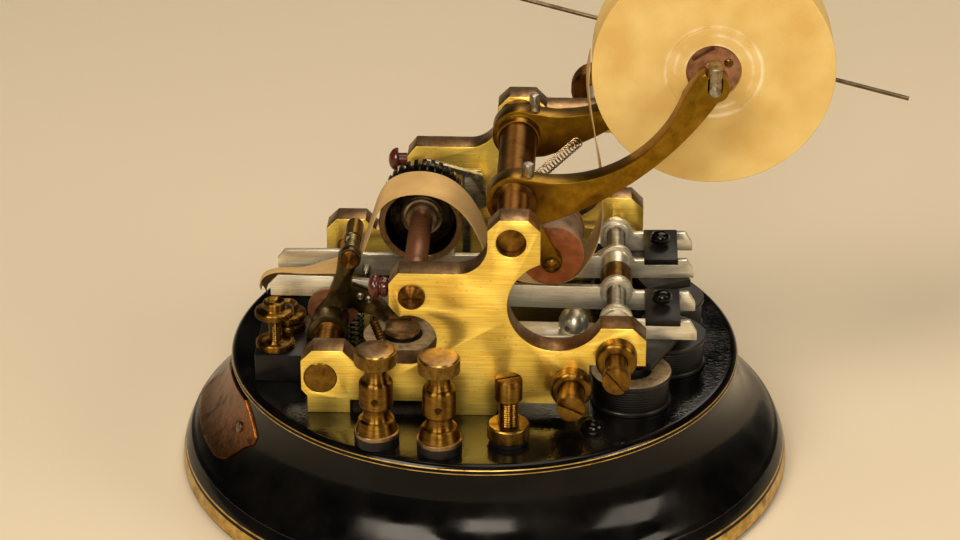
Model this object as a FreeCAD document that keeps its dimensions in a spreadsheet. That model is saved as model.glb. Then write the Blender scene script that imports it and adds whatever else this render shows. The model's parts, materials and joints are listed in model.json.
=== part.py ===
"""Stock ticker machine of the 1870s on a round japanned base, without its glass dome.

Two profiled brass plates stand on the base.  Between them run the reel crossbar, the type
wheel shaft and the two lever shafts; three pairs of upright magnet coils pull the levers.
X runs to the right along the plates, Y to the back and Z up; the origin is the centre of
the base's underside.  Millimetres.
"""
import FreeCAD, Part
import math
import os
import re

import Sketcher
from FreeCAD import Placement, Rotation, Vector

doc = FreeCAD.newDocument("StockTicker")

# ------------------------------------------------------------------ driving dimensions
SIZES = {
    # base casting: flat deck, rounded rim, hollow neck and swelling skirt
    "base_radius": 108.6, "base_height": 44, "deck_inset": 21.4, "rim_round": 2.8,
    "neck_height": 38, "cove_radius": 26, "swell_height": 1.5, "foot_height": 1.6,
    "foot_inset": 1.2, "base_wall": 4.5, "floor_thick": 2,
    # badge plate wrapped round the left of the skirt
    "badge_thick": 0.9, "badge_back": 14, "badge_front": 49, "badge_low": 16.5,
    "badge_high": 39.5,
    # the two profiled plates
    "plate_thick": 9.6, "front_face": 55.3, "plate_pitch": 101.8, "plate_bevel": 4,
    "foot_left": 60.1, "foot_top": 23.7, "foot_left_flat": 14.4, "foot_step": 2,
    "foot_step_height": 8.6, "small_bite_x": 23.2, "small_bite_height": 28.6,
    "small_bite_radius": 9.1, "lobe_left": 30, "lobe_low": 41.3, "lobe_top": 53.5,
    "sweep_radius": 10.3, "head_left": 2.9, "head_right": 20.5, "head_top": 73.6,
    "big_bite_x": 26.2, "big_bite_height": 41.9, "big_bite_radius": 16.6,
    "foot_right": 56.2, "foot_right_top": 34.2, "foot_right_low": 20.1,
    "waist_right": 37.3, "notch_height": 5, "notch_left_width": 27, "notch_left_x": 16.5,
    "notch_right_width": 22, "notch_right_x": 7.6, "ear_right": 46, "ear_low": 60,
    # axes: heights above the deck
    "type_x": 22.4, "type_height": 44.8, "bar_x": 10.8, "bar_height": 65.2,
    "rock_x": 46.3, "left_x": 53.5, "left_height": 13.3,
    "low_screw_x": 31.4, "low_screw_height": 12.5,
    "running_fit": 0.05, "body_gap": 0.3,
    # reel: crossbar, arms, axle, rod, core, roll and tape
    "bar_radius": 6.5, "bar_end_radius": 5, "bar_recess": 4, "bar_front": 25.5,
    "bar_collar": 1.1, "bar_collar_length": 2.4,
    "arm_thick": 8, "arm_front_face": 24, "arm_back_face": 31.5, "arm_hub_radius": 9.4,
    "arm_collar_radius": 7.7, "arm_collar_length": 4.2, "arm_sweep_radius": 44,
    "arm_back_radius": 112, "arm_eye_radius": 4.9, "reel_x": 77.3, "reel_height": 107.9,
    "axle_radius": 2, "axle_overhang": 2, "horn_height": 5.5, "roll_radius": 41,
    "core_radius": 9.4, "core_bore_ring": 4.5, "core_recess": 2.5, "core_rim": 1.4,
    "tape_width": 19, "tape_front": 8.5, "tape_thick": 0.25, "tape_height": 29.1,
    "tape_end": 76.9, "rod_radius": 0.75, "rod_length": 141, "rod_tilt": 14.6,
    "rod_gap": 1.2,
    # guide roller on the strap that hangs from the crossbar
    "roller_x": 23.7, "roller_height": 38.4, "roller_radius": 11.2, "roller_front": 10,
    "roller_length": 21.8, "roller_rim": 1.6, "roller_waist": 0.6, "roller_pin": 2,
    "strap_thick": 1.8, "strap_width": 7, "strap_boss_radius": 3.4, "strap_eye_radius": 8.6,
    "roller_head_radius": 2.6, "roller_head_thick": 1.6,
    # type wheel group
    "type_radius": 14.1, "type_tooth": 0.6, "type_teeth": 26, "type_width": 10,
    "type_rim": 1.6, "type_dish": 6.5, "type_hub_radius": 5.6, "type_hub_length": 3,
    "type_shaft_radius": 4, "type_journal": 2, "type_journal_length": 4.5,
    "escape_radius": 14.6, "escape_teeth": 30, "escape_tooth": 2, "escape_front": 18,
    "escape_thick": 5, "escape_hub_length": 1.5,
    "bearing_head_radius": 4.5, "bearing_head_thick": 2, "bearing_edge": 0.7,
    "bearing_shank_radius": 3.2,
    "lock_head_radius": 4.3, "lock_head_thick": 2.6, "lock_neck_radius": 2.9,
    "lock_neck_length": 4.2, "lock_shank_radius": 1.8, "lock_shank_length": 2.4,
    "lock_height": 46,
    # right rocking shaft; levers by their front faces, heights from the shaft's axis
    "rock_radius": 3.3, "rock_trunnion": 2.4, "lever_thick": 2.5, "lever_low": 6.9,
    "lever_right": 27.7, "clip_run": 2.4, "clip_drop": 4.2, "hump_radius": 5.75,
    "hump_fillet": 1.6, "lever_left": 121.2, "left_arm_top": 1.8, "crank_x": 88,
    "crank_run": 12, "crank_rise": 1.5, "crank_top": 2.7, "crank_low": 5.6,
    "tip_low": 3.7, "tip_run": 2.7, "tip_drop": 3,
    "lever_a_y": 38, "lever_b_y": 16, "lever_c_y": 8.4, "lever_d_y": 30, "rear_tilt": 1.3,
    "hub_a_radius": 4.6, "hub_a_forward": 1.5, "hub_b_radius": 4.5, "hub_b_forward": 10.4,
    "hub_c_radius": 5.5, "hub_c_forward": 0.9, "hub_d_radius": 4.9, "hub_d_forward": 2.4,
    "hub_back": 0.3, "spacer_radius": 5.57, "spacer_length": 10.6,
    "pallet_span": 8.6, "pallet_width": 2.4, "pallet_top": 8.2, "pallet_slant": 1.6,
    "pallet_low": 4,
    # yokes let into the lever bars and the iron slabs below them
    "yoke_x": 10, "yoke_width": 12, "yoke_sink": 1.7, "yoke_proud": 0.45,
    "distance_piece": 6, "slab_width": 17, "slab_length": 36, "slab_thick": 2.9,
    "armature_gap": 0.5,
    # magnet coils
    "coil_radius": 13.9, "coil_wind_radius": 13.1, "coil_height": 11.3, "cheek_thick": 1.5,
    "pole_radius": 5, "pole_tip": 0.4, "pole_rise": 2.2, "coil_inner_x": 51.6,
    "coil_inner_y": 41.6, "coil_outer_x": 64, "coil_outer_y": 14.1, "coil_left_x": 28,
    "coil_left_front": 18.6, "coil_left_back": 12.1,
    # left shaft and printing lever; the lever's points are from the shaft's axis
    "left_plug_radius": 5.6, "plug_recess": 0.3, "left_sleeve_radius": 4.3,
    "left_lip": 0.9, "left_lip_length": 1.2, "left_radius": 3.4, "left_thin_radius": 2.4,
    "left_step": 8, "drum_radius": 6.2, "drum_front": 24, "drum_back": 8.8,
    "drum_lip": 0.8, "drum_lip_length": 1.4, "print_arm_front": 14, "print_arm_thick": 3.2,
    "print_eye_radius": 4, "print_eye_x": 7, "print_eye_height": 24.4, "tail_radius": 8.4,
    "tail_rise": 2.3, "tail_thick": 1.6, "boss_radius": 6, "armature_thick": 2.1,
    "armature_width": 10, "armature_end": 3.3, "lever_lip": 7.6, "lever_lip_thick": 1.4,
    "spindle_length": 28, "spindle_front": 1.2, "spindle_head_radius": 3.2,
    "spindle_head_length": 5.7,
    "spindle_neck_radius": 2.8, "spindle_neck_length": 11, "spindle_radius": 3.05,
    "spindle_tip_radius": 0.7, "spindle_tip_length": 0.8,
    "spring_x": 45.4, "spring_y": 5.4, "spring_radius": 2.7, "spring_wire": 0.4,
    "spring_turns": 5, "spring_pin_radius": 1.2, "spring_pin_height": 1,
    "spring_pin_length": 5.2,
    # pivot screws on the front plate
    "nut_radius": 7, "nut_thick": 5, "nut_round": 1, "screw_neck_radius": 2.4,
    "right_neck_radius": 3.5, "lower_neck_radius": 4.3, "screw_head_radius": 4.7,
    "screw_head_thick": 4.6, "right_screw_reach": 18, "lower_screw_reach": 16.6,
    "right_slot_turn": 50, "lower_slot_turn": 25, "slot_width": 0.9, "slot_depth": 1.1,
    # binding posts on the deck
    "post_x": 33.2, "post_inset": 13.2, "post2_x": 12, "post2_inset": 8.6,
    "washer_radius": 7.5, "washer_thick": 3.5, "ring_radius": 7.6, "ring_top": 5,
    "flange_radius": 7, "flange_narrow": 5.9, "flange_top": 9, "waist_radius": 4.3,
    "waist_low": 11.2, "waist_high": 12.6, "barrel_radius": 5.65, "barrel_low": 14.4,
    "barrel_top": 24, "barrel_round": 1.4, "post_neck_radius": 3.7, "shoulder": 1.9,
    "post_height": 28.9, "wire_hole": 1.3, "wire_hole_height": 17.6,
    "thumb_radius": 6.9, "thumb_thick": 6, "thumb_bevel": 0.6, "thumb_shank_radius": 1.9,
    "thumb_shank": 7,
    # slotted adjusting post in front of the plate
    "adjust_x": 10.7, "adjust_inset": 15.2, "adjust_nut_radius": 7, "adjust_nut_thick": 7,
    "adjust_washer_radius": 6.4, "adjust_washer": 1.6, "adjust_shank_radius": 3.35,
    "adjust_head_radius": 4.6, "adjust_head_low": 16.6, "adjust_top": 24.2,
    "adjust_in": 5, "adjust_slot_turn": 22,
    # line terminals on their ebonite block
    "ebonite_inset": 9, "ebonite_width": 17.2, "block_front": 34.2, "block_back": 4,
    "ebonite_height": 10.2, "stud_a_in": 6.6, "stud_a_y": 27, "stud_b_in": 9.3,
    "stud_b_y": 12.7, "disc_radius": 6.5, "disc_thick": 2.6, "stem_radius": 2.2,
    "nut_a_low": 11.9, "nut_b_low": 3.7, "collar_radius": 3.9, "collar_thick": 3,
    "collar_recess": 0.9, "disc_recess": 0.8,
    # setting knob on the back plate, unison plate and arm
    "knob_x": 38, "knob_height": 65, "knob_radius": 9, "knob_thick": 8, "knob_reach": 16,
    "knob_bevel": 0.8, "knob_shaft_radius": 3, "knob_tail": 4, "unison_y": 38.5,
    "unison_thick": 2.2, "unison_left": 9.6, "unison_right": 0.4, "unison_low": 12,
    "unison_waist": 34, "unison_top": 47.9, "unison_slant": 2.6, "unison_stem": 2.8,
    "unison_stud_radius": 2.4, "unison_pivot_x": 4.6, "unison_pivot_height": 46,
    "unison_pin_radius": 1.1, "unison_reach": 18.2, "unison_arm_tall": 2.1,
    "unison_rise": 6, "unison_block": 4, "unison_block_tall": 3.6,
}

sheet = doc.addObject("Spreadsheet::Sheet", "sizes")
for row, (alias, number) in enumerate(SIZES.items(), start=1):
    sheet.set("A%d" % row, alias)
    sheet.set("B%d" % row, str(number))
    sheet.setAlias("B%d" % row, alias)
doc.recompute()


# ------------------------------------------------------------------ drawing helpers
def bound(expression):
    """Write every size named in an expression as a cell of the sheet."""
    return re.sub(r"[a-z]\w*", lambda word: "sizes." + word.group()
                  if word.group() in SIZES else word.group(), str(expression))


def value(expression):
    return float(sheet.evalExpression(bound(expression)))


def tie(item, prop, expression):
    item.setExpression(prop, bound(expression))


class Arc:
    """The stretch between two points of an outline is an arc; turn +1 is anticlockwise."""
    def __init__(self, radius, turn, major=False):
        self.radius, self.turn, self.major = radius, turn, major


def dome(radius, rise):
    """The arc of a spherical cap of this radius and rise that ends on the axis."""
    return Arc("((%s)^2+(%s)^2)/(2*(%s))" % (radius, rise, rise), 1)


UP = Rotation()
FRONTWARD = Rotation(Vector(1, 0, 0), 90)       # the body's own Z points to the front
BACKWARD = Rotation(Vector(1, 0, 0), -90)       # ... to the back
LEFTWARD = Rotation(Vector(0, 1, 0), -90)       # ... to the left

PIECES = []


class Piece:
    """One solid of the machine: a body drawn in its own frame and bound to the sheet."""

    def __init__(self, label, x=0, y=0, z=0, turn=UP):
        self.body = doc.addObject("PartDesign::Body", label)
        self.body.Label = label
        self.body.Placement = Placement(Vector(value(x), value(y), value(z)), turn)
        for axis, place in (("x", x), ("y", y), ("z", z)):
            tie(self.body, "Placement.Base." + axis, place)
        self.step = 0
        PIECES.append(self.body)

    def _name(self, kind):
        self.step += 1
        return "%s_%s%d" % (self.body.Name, kind, self.step)

    def _sketch(self, role, level=0):
        sketch = self.body.newObject("Sketcher::SketchObject", self._name("sketch"))
        plane = [o for o in self.body.Origin.OriginFeatures if o.Role == role][0]
        sketch.AttachmentSupport = [(plane, "")]
        sketch.MapMode = "FlatFace"
        tie(sketch, "AttachmentOffset.Base.z", level)
        return sketch

    def _outline(self, sketch, outline):
        points = [item for item in outline if not isinstance(item, Arc)]
        places = [Vector(value(x), value(y), 0) for x, y in points]
        arcs, count = {}, 0
        for item in outline:
            if isinstance(item, Arc):
                arcs[count - 1] = item
            else:
                count += 1
        total = len(points)
        for i in range(total):
            start, end = places[i], places[(i + 1) % total]
            if i not in arcs:
                sketch.addGeometry(Part.LineSegment(start, end), False)
                continue
            radius, turn = value(arcs[i].radius), arcs[i].turn
            chord = end - start
            lift = math.sqrt(max(radius ** 2 - (chord.Length / 2) ** 2, 0))
            side = Vector(-chord.y, chord.x, 0).normalize() * lift * turn
            centre = (start + end) / 2 + (side * -1 if arcs[i].major else side)
            first, last = (start, end) if turn > 0 else (end, start)
            circle = Part.Circle(centre, Vector(0, 0, 1), radius)
            sketch.addGeometry(Part.ArcOfCircle(circle, circle.parameter(first),
                                                circle.parameter(last)), False)
        for i in range(total):
            after = (i + 1) % total
            end = 1 if i in arcs and arcs[i].turn < 0 else 2
            begin = 2 if after in arcs and arcs[after].turn < 0 else 1
            sketch.addConstraint(Sketcher.Constraint("Coincident", i, end, after, begin))
        for i, (x, y) in enumerate(points):
            begin = 2 if i in arcs and arcs[i].turn < 0 else 1
            for kind, place, number in (("DistanceX", x, places[i].x),
                                        ("DistanceY", y, places[i].y)):
                k = sketch.addConstraint(Sketcher.Constraint(kind, -1, 1, i, begin, number))
                tie(sketch, "Constraints[%d]" % k, place)
        for i, arc in arcs.items():
            k = sketch.addConstraint(Sketcher.Constraint("Radius", i, value(arc.radius)))
            tie(sketch, "Constraints[%d]" % k, arc.radius)

    def _circle(self, sketch, x, y, radius):
        n = sketch.addGeometry(Part.Circle(Vector(value(x), value(y), 0), Vector(0, 0, 1),
                                           value(radius)), False)
        for kind, place in (("DistanceX", x), ("DistanceY", y)):
            k = sketch.addConstraint(Sketcher.Constraint(kind, -1, 1, n, 3, value(place)))
            tie(sketch, "Constraints[%d]" % k, place)
        k = sketch.addConstraint(Sketcher.Constraint("Radius", n, value(radius)))
        tie(sketch, "Constraints[%d]" % k, radius)

    def _feature(self, kind, sketch):
        feature = self.body.newObject("PartDesign::" + kind, self._name(kind.lower()))
        feature.Profile = sketch
        return feature

    def spin(self, *profile):
        """Turn a profile of (radius, height) points about the body's Z axis."""
        sketch = self._sketch("XZ_Plane")
        self._outline(sketch, profile)
        turned = self._feature("Revolution", sketch)
        turned.ReferenceAxis = (sketch, ["V_Axis"])
        turned.Angle = 360
        return self

    def pad(self, outline, length, level=0):
        sketch = self._sketch("XY_Plane", level)
        self._outline(sketch, outline)
        tie(self._feature("Pad", sketch), "Length", length)
        return self

    def disc(self, x, y, radius, length, level=0):
        sketch = self._sketch("XY_Plane", level)
        self._circle(sketch, x, y, radius)
        tie(self._feature("Pad", sketch), "Length", length)
        return self

    def _cut(self, sketch, depth):
        doc.recompute()
        before = self.body.Shape.Volume
        pocket = self._feature("Pocket", sketch)
        tie(pocket, "Length", depth)
        doc.recompute()
        if not self.body.Shape.Volume < before:
            raise RuntimeError("%s cuts nothing" % pocket.Name)
        return pocket

    def bore(self, x, y, radius, depth, level):
        """Bore down from a level; level is the height at which the bore starts."""
        sketch = self._sketch("XY_Plane", level)
        self._circle(sketch, x, y, radius)
        self._cut(sketch, depth)
        return self

    def pocket(self, outline, depth, level):
        sketch = self._sketch("XY_Plane", level)
        self._outline(sketch, outline)
        self.last = self._cut(sketch, depth)
        return self

    def slot(self, length, top):
        """A screwdriver slot across the head."""
        return self.pocket(rectangle("0-(%s)" % length, "0-slot_width/2", length,
                                     "slot_width/2"), "slot_depth", top)

    def front_slot(self, length, face):
        """The same slot in the end that looks down the body's own Z axis."""
        return self.pocket(rectangle("0-slot_width/2", "0-(%s)" % length, "slot_width/2",
                                     length), "slot_depth", "%s+slot_depth" % face)

    def around(self, count):
        """Repeat the last pocket round the body's Z axis."""
        pattern = self.body.newObject("PartDesign::PolarPattern", self._name("pattern"))
        pattern.Originals = [self.last]
        pattern.Axis = (self.last.Profile[0], ["N_Axis"])
        pattern.Angle = 360
        tie(pattern, "Occurrences", count)
        self.body.Tip = pattern
        return self


def rectangle(left, low, right, high):
    return [(left, low), (right, low), (right, high), (left, high)]


def made(label, shape):
    """A piece that no sketch suits: its shape is worked out from the same sheet."""
    piece = doc.addObject("Part::Feature", label)
    piece.Label = label
    piece.Shape = shape
    PIECES.append(piece)
    return piece


DECK = "base_height"
DECK_RADIUS = "(base_radius-deck_inset)"
ROCK_HEIGHT = "(coil_height+pole_rise+armature_gap+slab_thick+lever_low)"
BACK_FACE = "plate_pitch-front_face"            # front face of the back plate
INSIDE_FRONT = "plate_thick-front_face"         # back face of the front plate


def above_deck(height):
    return "base_height+" + height


# ------------------------------------------------------------------ base
# The cove runs down from the neck and passes into the swell on one tangent: both centres
# and the point where they meet lie on one line.
neck_radius = "(%s+rim_round)" % DECK_RADIUS
cove_centre = "(%s+cove_radius)" % neck_radius
aside = "(%s-base_radius)" % cove_centre
drop = "(neck_height-swell_height)"
swell_radius = "((%s^2+%s^2-cove_radius^2)/(2*(cove_radius-%s)))" % (aside, drop, aside)
run = "(%s+%s)" % (aside, swell_radius)
both = "(cove_radius+%s)" % swell_radius
join_x = "%s-cove_radius*%s/%s" % (cove_centre, run, both)
join_height = "neck_height-cove_radius*%s/%s" % (drop, both)
inner_neck = "%s-base_wall" % neck_radius

base = Piece("base_casting")
base.spin(("0", "base_height-base_wall"), ("0", "base_height"),
          (DECK_RADIUS, "base_height"),
          Arc("rim_round", -1), (neck_radius, "base_height-rim_round"),
          (neck_radius, "neck_height"), Arc("cove_radius", 1), (join_x, join_height),
          Arc(swell_radius, -1), ("base_radius", "swell_height"),
          ("base_radius-foot_inset", "swell_height-foot_height/2"),
          ("base_radius-foot_inset", "0"), ("base_radius-foot_inset-base_wall", "0"),
          ("base_radius-foot_inset-base_wall", "floor_thick+foot_height"),
          (inner_neck, "neck_height-cove_radius/2"),
          (inner_neck, "base_height-base_wall"))

floor = Piece("base_floor_plate")
floor.disc(0, 0, "base_radius-foot_inset-base_wall-running_fit", "floor_thick")


def badge_shape():
    """A thin sheet lying on the cove and swell, cut to its outline from the left."""
    neck, cove = value(neck_radius), value("cove_radius")
    centre_x, top = neck + cove, value("neck_height")
    jx, jz = value(join_x), value(join_height)
    sz, swell = value("swell_height"), value(swell_radius)
    sx = value("base_radius") - swell

    def skin(lift):
        cove_arc = Part.Arc(Vector(neck + lift, 0, top),
                            Vector(centre_x - (cove - lift) * math.cos(0.45), 0,
                                   top - (cove - lift) * math.sin(0.45)),
                            Vector(jx + lift * (centre_x - jx) / cove, 0,
                                   jz + lift * (top - jz) / cove))
        angle = math.atan2(jz - sz, jx - sx) / 2
        swell_arc = Part.Arc(Vector(jx + lift * (centre_x - jx) / cove, 0,
                                    jz + lift * (top - jz) / cove),
                             Vector(sx + (swell + lift) * math.cos(angle), 0,
                                    sz + (swell + lift) * math.sin(angle)),
                             Vector(sx + swell + lift, 0, sz))
        rise = Part.LineSegment(Vector(neck + lift, 0, top + 3), Vector(neck + lift, 0, top))
        return [rise.toShape(), cove_arc.toShape(), swell_arc.toShape()]

    inner, outer = skin(0), skin(value("badge_thick"))
    ends = [Part.LineSegment(inner[0].Vertexes[0].Point, outer[0].Vertexes[0].Point).toShape(),
            Part.LineSegment(inner[-1].Vertexes[-1].Point,
                             outer[-1].Vertexes[-1].Point).toShape()]
    band = Part.Face(Part.Wire(Part.__sortEdges__(inner + outer + ends)))
    shell = band.revolve(Vector(), Vector(0, 0, 1), 90)
    shell.rotate(Vector(), Vector(0, 0, 1), 150)
    back, front = value("badge_back"), -value("badge_front")
    low, high = value("badge_low"), value("badge_high")
    rows = [(back, low + 1), (back - 5, low - 1), (0, low), (front + 8, low + 1),
            (front + 4, low + 2), (front + 2, low + 8), (front - 1, low + 11),
            (front - 1, low + 14), (front + 9, high), (front + 30, high), (back - 2, high - 9)]
    outline = Part.makePolygon([Vector(0, y, z) for y, z in rows + rows[:1]])
    prism = Part.Face(outline).extrude(Vector(-2 * value("base_radius"), 0, 0))
    return shell.common(prism)


made("badge_plate", badge_shape())


# ------------------------------------------------------------------ profiled plates
def plate_outline(ear):
    """Left foot, small bite, lobe, swept neck, head, big bite, right foot and notches."""
    left = [("0-foot_left+foot_step", "0"), ("0-foot_left+foot_step", "foot_step_height-2.4"),
            ("0-foot_left", "foot_step_height"), ("0-foot_left", "foot_top-plate_bevel"),
            ("0-foot_left+plate_bevel", "foot_top"),
            ("0-foot_left+foot_left_flat", "foot_top"),
            ("0-foot_left+foot_left_flat+plate_bevel",
             "small_bite_height-small_bite_radius"),
            ("0-small_bite_x", "small_bite_height-small_bite_radius"),
            Arc("small_bite_radius", 1, True),
            ("0-small_bite_x-3.4", "small_bite_height+sqrt(small_bite_radius^2-3.4^2)"),
            ("0-lobe_left", "lobe_low"), ("0-lobe_left", "lobe_top-plate_bevel"),
            ("0-lobe_left+plate_bevel*0.8", "lobe_top"), ("head_left-sweep_radius", "lobe_top"),
            Arc("sweep_radius", 1), ("head_left", "lobe_top+sweep_radius"),
            ("head_left", "head_top-plate_bevel"), ("head_left+plate_bevel", "head_top"),
            ("head_right-plate_bevel", "head_top"), ("head_right", "head_top-plate_bevel")]
    bite_start = ("head_right",
                  "big_bite_height+sqrt(big_bite_radius^2-(big_bite_x-head_right)^2)")
    if ear:
        left += [("ear_right-plate_bevel", "head_top-plate_bevel"),
                 ("ear_right", "head_top-2*plate_bevel"), ("ear_right", "ear_low"),
                 ("big_bite_x", "ear_low")]
    right = [bite_start, Arc("big_bite_radius", 1, True),
             ("big_bite_x+sqrt(big_bite_radius^2-(big_bite_height-foot_right_top)^2)",
              "foot_right_top"),
             ("foot_right-plate_bevel*1.1", "foot_right_top"),
             ("foot_right", "foot_right_top-plate_bevel*1.1"),
             ("foot_right", "foot_right_low"), ("waist_right", "foot_right_low"),
             ("waist_right", "0"), ("notch_right_x+notch_right_width", "0"),
             ("notch_right_x+notch_right_width", "notch_height"),
             ("notch_right_x", "notch_height"), ("notch_right_x-1.8", "0"),
             ("3-notch_left_x", "0"), ("0-notch_left_x", "notch_height"),
             ("0-notch_left_x-notch_left_width", "notch_height"),
             ("0-notch_left_x-notch_left_width", "0")]
    return left + right


front_plate = Piece("front_plate", y=INSIDE_FRONT, z=DECK, turn=FRONTWARD)
front_plate.pad(plate_outline(False), "plate_thick")
back_plate = Piece("back_plate", y="%s+plate_thick" % BACK_FACE, z=DECK, turn=FRONTWARD)
back_plate.pad(plate_outline(True), "plate_thick")
for plate, type_hole, rock_hole in (
        (front_plate, "bearing_shank_radius+running_fit", "screw_neck_radius+running_fit"),
        (back_plate, "type_journal+running_fit", "rock_trunnion")):
    plate.bore("0-type_x", "type_height", type_hole, "plate_thick", "plate_thick")
    plate.bore("bar_x", "bar_height", "bar_end_radius", "plate_thick", "plate_thick")
    plate.bore("rock_x", ROCK_HEIGHT, rock_hole, "plate_thick", "plate_thick")
front_plate.bore("0-left_x", "left_height", "left_plug_radius", "plate_thick", "plate_thick")
front_plate.bore("low_screw_x", "low_screw_height", "screw_neck_radius+running_fit",
                 "plate_thick", "plate_thick")
back_plate.bore("0-left_x", "left_height", "left_thin_radius", "plate_thick", "plate_thick")
back_plate.bore("knob_x", "knob_height", "knob_shaft_radius+running_fit", "plate_thick",
                "plate_thick")


def lock_bore(plate, y_middle):
    """The blind hole in the lobe's edge that the lock screw turns in."""
    sketch = plate._sketch("YZ_Plane", "0-lobe_left")
    plate._circle(sketch, "lock_height", y_middle, "lock_shank_radius+running_fit")
    doc.recompute()
    before = plate.body.Shape.Volume
    pocket = plate._feature("Pocket", sketch)
    pocket.Reversed = True
    tie(pocket, "Length", "lock_shank_length+body_gap")
    doc.recompute()
    if not plate.body.Shape.Volume < before:
        raise RuntimeError("lock bore cuts nothing")


for plate in (front_plate, back_plate):
    lock_bore(plate, "plate_thick/2")

# ------------------------------------------------------------------ reel carrier
bar = Piece("reel_crossbar", x="bar_x", y=INSIDE_FRONT, z=above_deck("bar_height"),
            turn=BACKWARD)
bar_start = "(front_face-plate_thick-bar_front)"
bar_end = "(%s-plate_thick+front_face)" % BACK_FACE
bar_shoulder = "(front_face-plate_thick-arm_front_face-running_fit)"
bar_ring = "(bar_radius+bar_collar)"
bar.spin(("0", "bar_recess-plate_thick"), ("0", "%s+plate_thick" % bar_end),
         ("bar_end_radius", "%s+plate_thick" % bar_end), ("bar_end_radius", bar_end),
         (bar_ring, bar_end), (bar_ring, "%s-bar_collar_length" % bar_end),
         ("bar_radius", "%s-bar_collar_length" % bar_end), ("bar_radius", bar_shoulder),
         (bar_ring, bar_shoulder), (bar_ring, bar_start),
         ("bar_end_radius+0.6", bar_start), ("bar_end_radius+0.6", "0"),
         ("bar_end_radius", "0"), ("bar_end_radius", "bar_recess-plate_thick"))
bar.front_slot("bar_end_radius", "bar_recess-plate_thick")

# The arm is a curved blade between two arcs, from the hub on the bar to the eye that holds
# the axle; beside the eye a horn stands up and leaves the slot open at the top.
EYE_X, EYE_Z = "(reel_x-bar_x)", "(reel_height-bar_height)"
AXLE_SEAT = "(axle_radius+running_fit)"


def reel_arm(label, front):
    arm = Piece(label, x="bar_x", y="%s+arm_thick" % front, z=above_deck("bar_height"),
                turn=FRONTWARD)
    arm.pad([("0", "arm_hub_radius-0.2"), ("arm_hub_radius+2", "7.6"),
             Arc("arm_sweep_radius", 1), ("%s-10.5" % EYE_X, "%s-4" % EYE_Z),
             ("%s-axle_radius-3.6" % EYE_X, "%s+horn_height-1.2" % EYE_Z),
             ("%s-axle_radius-1.4" % EYE_X, "%s+horn_height" % EYE_Z),
             ("%s-%s" % (EYE_X, AXLE_SEAT), "%s+horn_height-1.6" % EYE_Z),
             ("%s-%s" % (EYE_X, AXLE_SEAT), "%s-1" % EYE_Z),
             ("%s+1" % EYE_X, "%s-arm_eye_radius" % EYE_Z),
             Arc("arm_back_radius", -1), ("arm_hub_radius", "0-arm_hub_radius+1.2"),
             ("0", "0-arm_hub_radius+0.2")], "arm_thick")
    arm.disc(0, 0, "arm_hub_radius", "arm_thick")
    arm.disc(EYE_X, EYE_Z, "arm_eye_radius", "arm_thick")
    arm.bore(0, 0, "bar_radius", "arm_thick", "arm_thick")
    arm.bore(EYE_X, EYE_Z, AXLE_SEAT, "arm_thick", "arm_thick")
    arm.pocket(rectangle("%s-%s" % (EYE_X, AXLE_SEAT), EYE_Z,
                         "%s+%s" % (EYE_X, AXLE_SEAT), "%s+horn_height" % EYE_Z),
               "arm_thick", "arm_thick")
    return arm


reel_arm("front_reel_arm", "0-arm_front_face")
back_arm = reel_arm("back_reel_arm", "arm_back_face")
back_arm.disc(0, 0, "arm_collar_radius", "arm_collar_length", "arm_thick")
back_arm.bore(0, 0, "bar_radius", "arm_thick+arm_collar_length",
              "arm_thick+arm_collar_length")

REEL_Z = above_deck("reel_height")
ROD_Y = "(tape_width-tape_front+rod_gap+rod_radius)"
axle = Piece("reel_axle", x="reel_x", y="0-arm_front_face-axle_overhang", z=REEL_Z,
             turn=BACKWARD)
axle.disc(0, 0, "axle_radius", "arm_front_face+arm_back_face+arm_thick+2*axle_overhang")
rod_angle = value("rod_tilt")
rod_axis = Vector(math.cos(math.radians(rod_angle)), 0, -math.sin(math.radians(rod_angle)))
rod_middle = Vector(value("reel_x"), value(ROD_Y), value(REEL_Z))
rod_hole = doc.addObject("Part::Cylinder", "rod_hole")
tie(rod_hole, "Radius", "rod_radius")
tie(rod_hole, "Height", "6*axle_radius")
rod_hole.Placement = Placement(rod_middle - rod_axis * value("3*axle_radius"),
                               Rotation(Vector(0, 0, 1), rod_axis))
drilled = doc.addObject("Part::Cut", "drilled_axle")
drilled.Base, drilled.Tool = axle.body, rod_hole
PIECES[-1] = drilled
axle.body.Label = "reel_axle_blank"
drilled.Label = "reel_axle"

rod = doc.addObject("Part::Cylinder", "reel_guard_rod")
rod.Label = "reel_guard_rod"
tie(rod, "Radius", "rod_radius")
tie(rod, "Height", "rod_length")
rod.Placement = Placement(rod_middle - rod_axis * (value("rod_length") / 2),
                          Rotation(Vector(0, 0, 1), rod_axis))
PIECES.append(rod)

core = Piece("reel_core", x="reel_x", y="0-tape_front", z=REEL_Z, turn=BACKWARD)
core_inner = "core_radius-core_rim"
core.spin(("axle_radius+running_fit", "0"), ("core_bore_ring", "0"),
          ("core_bore_ring", "core_recess"), (core_inner, "core_recess"),
          (core_inner, "0"), ("core_radius", "0"), ("core_radius", "tape_width"),
          (core_inner, "tape_width"), (core_inner, "tape_width-core_recess"),
          ("core_bore_ring", "tape_width-core_recess"), ("core_bore_ring", "tape_width"),
          ("axle_radius+running_fit", "tape_width"))
roll = Piece("paper_roll", x="reel_x", y="0-tape_front", z=REEL_Z, turn=BACKWARD)
roll.spin(("core_radius", "0"), ("roll_radius", "0"), ("roll_radius", "tape_width"),
          ("core_radius", "tape_width"))


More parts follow.
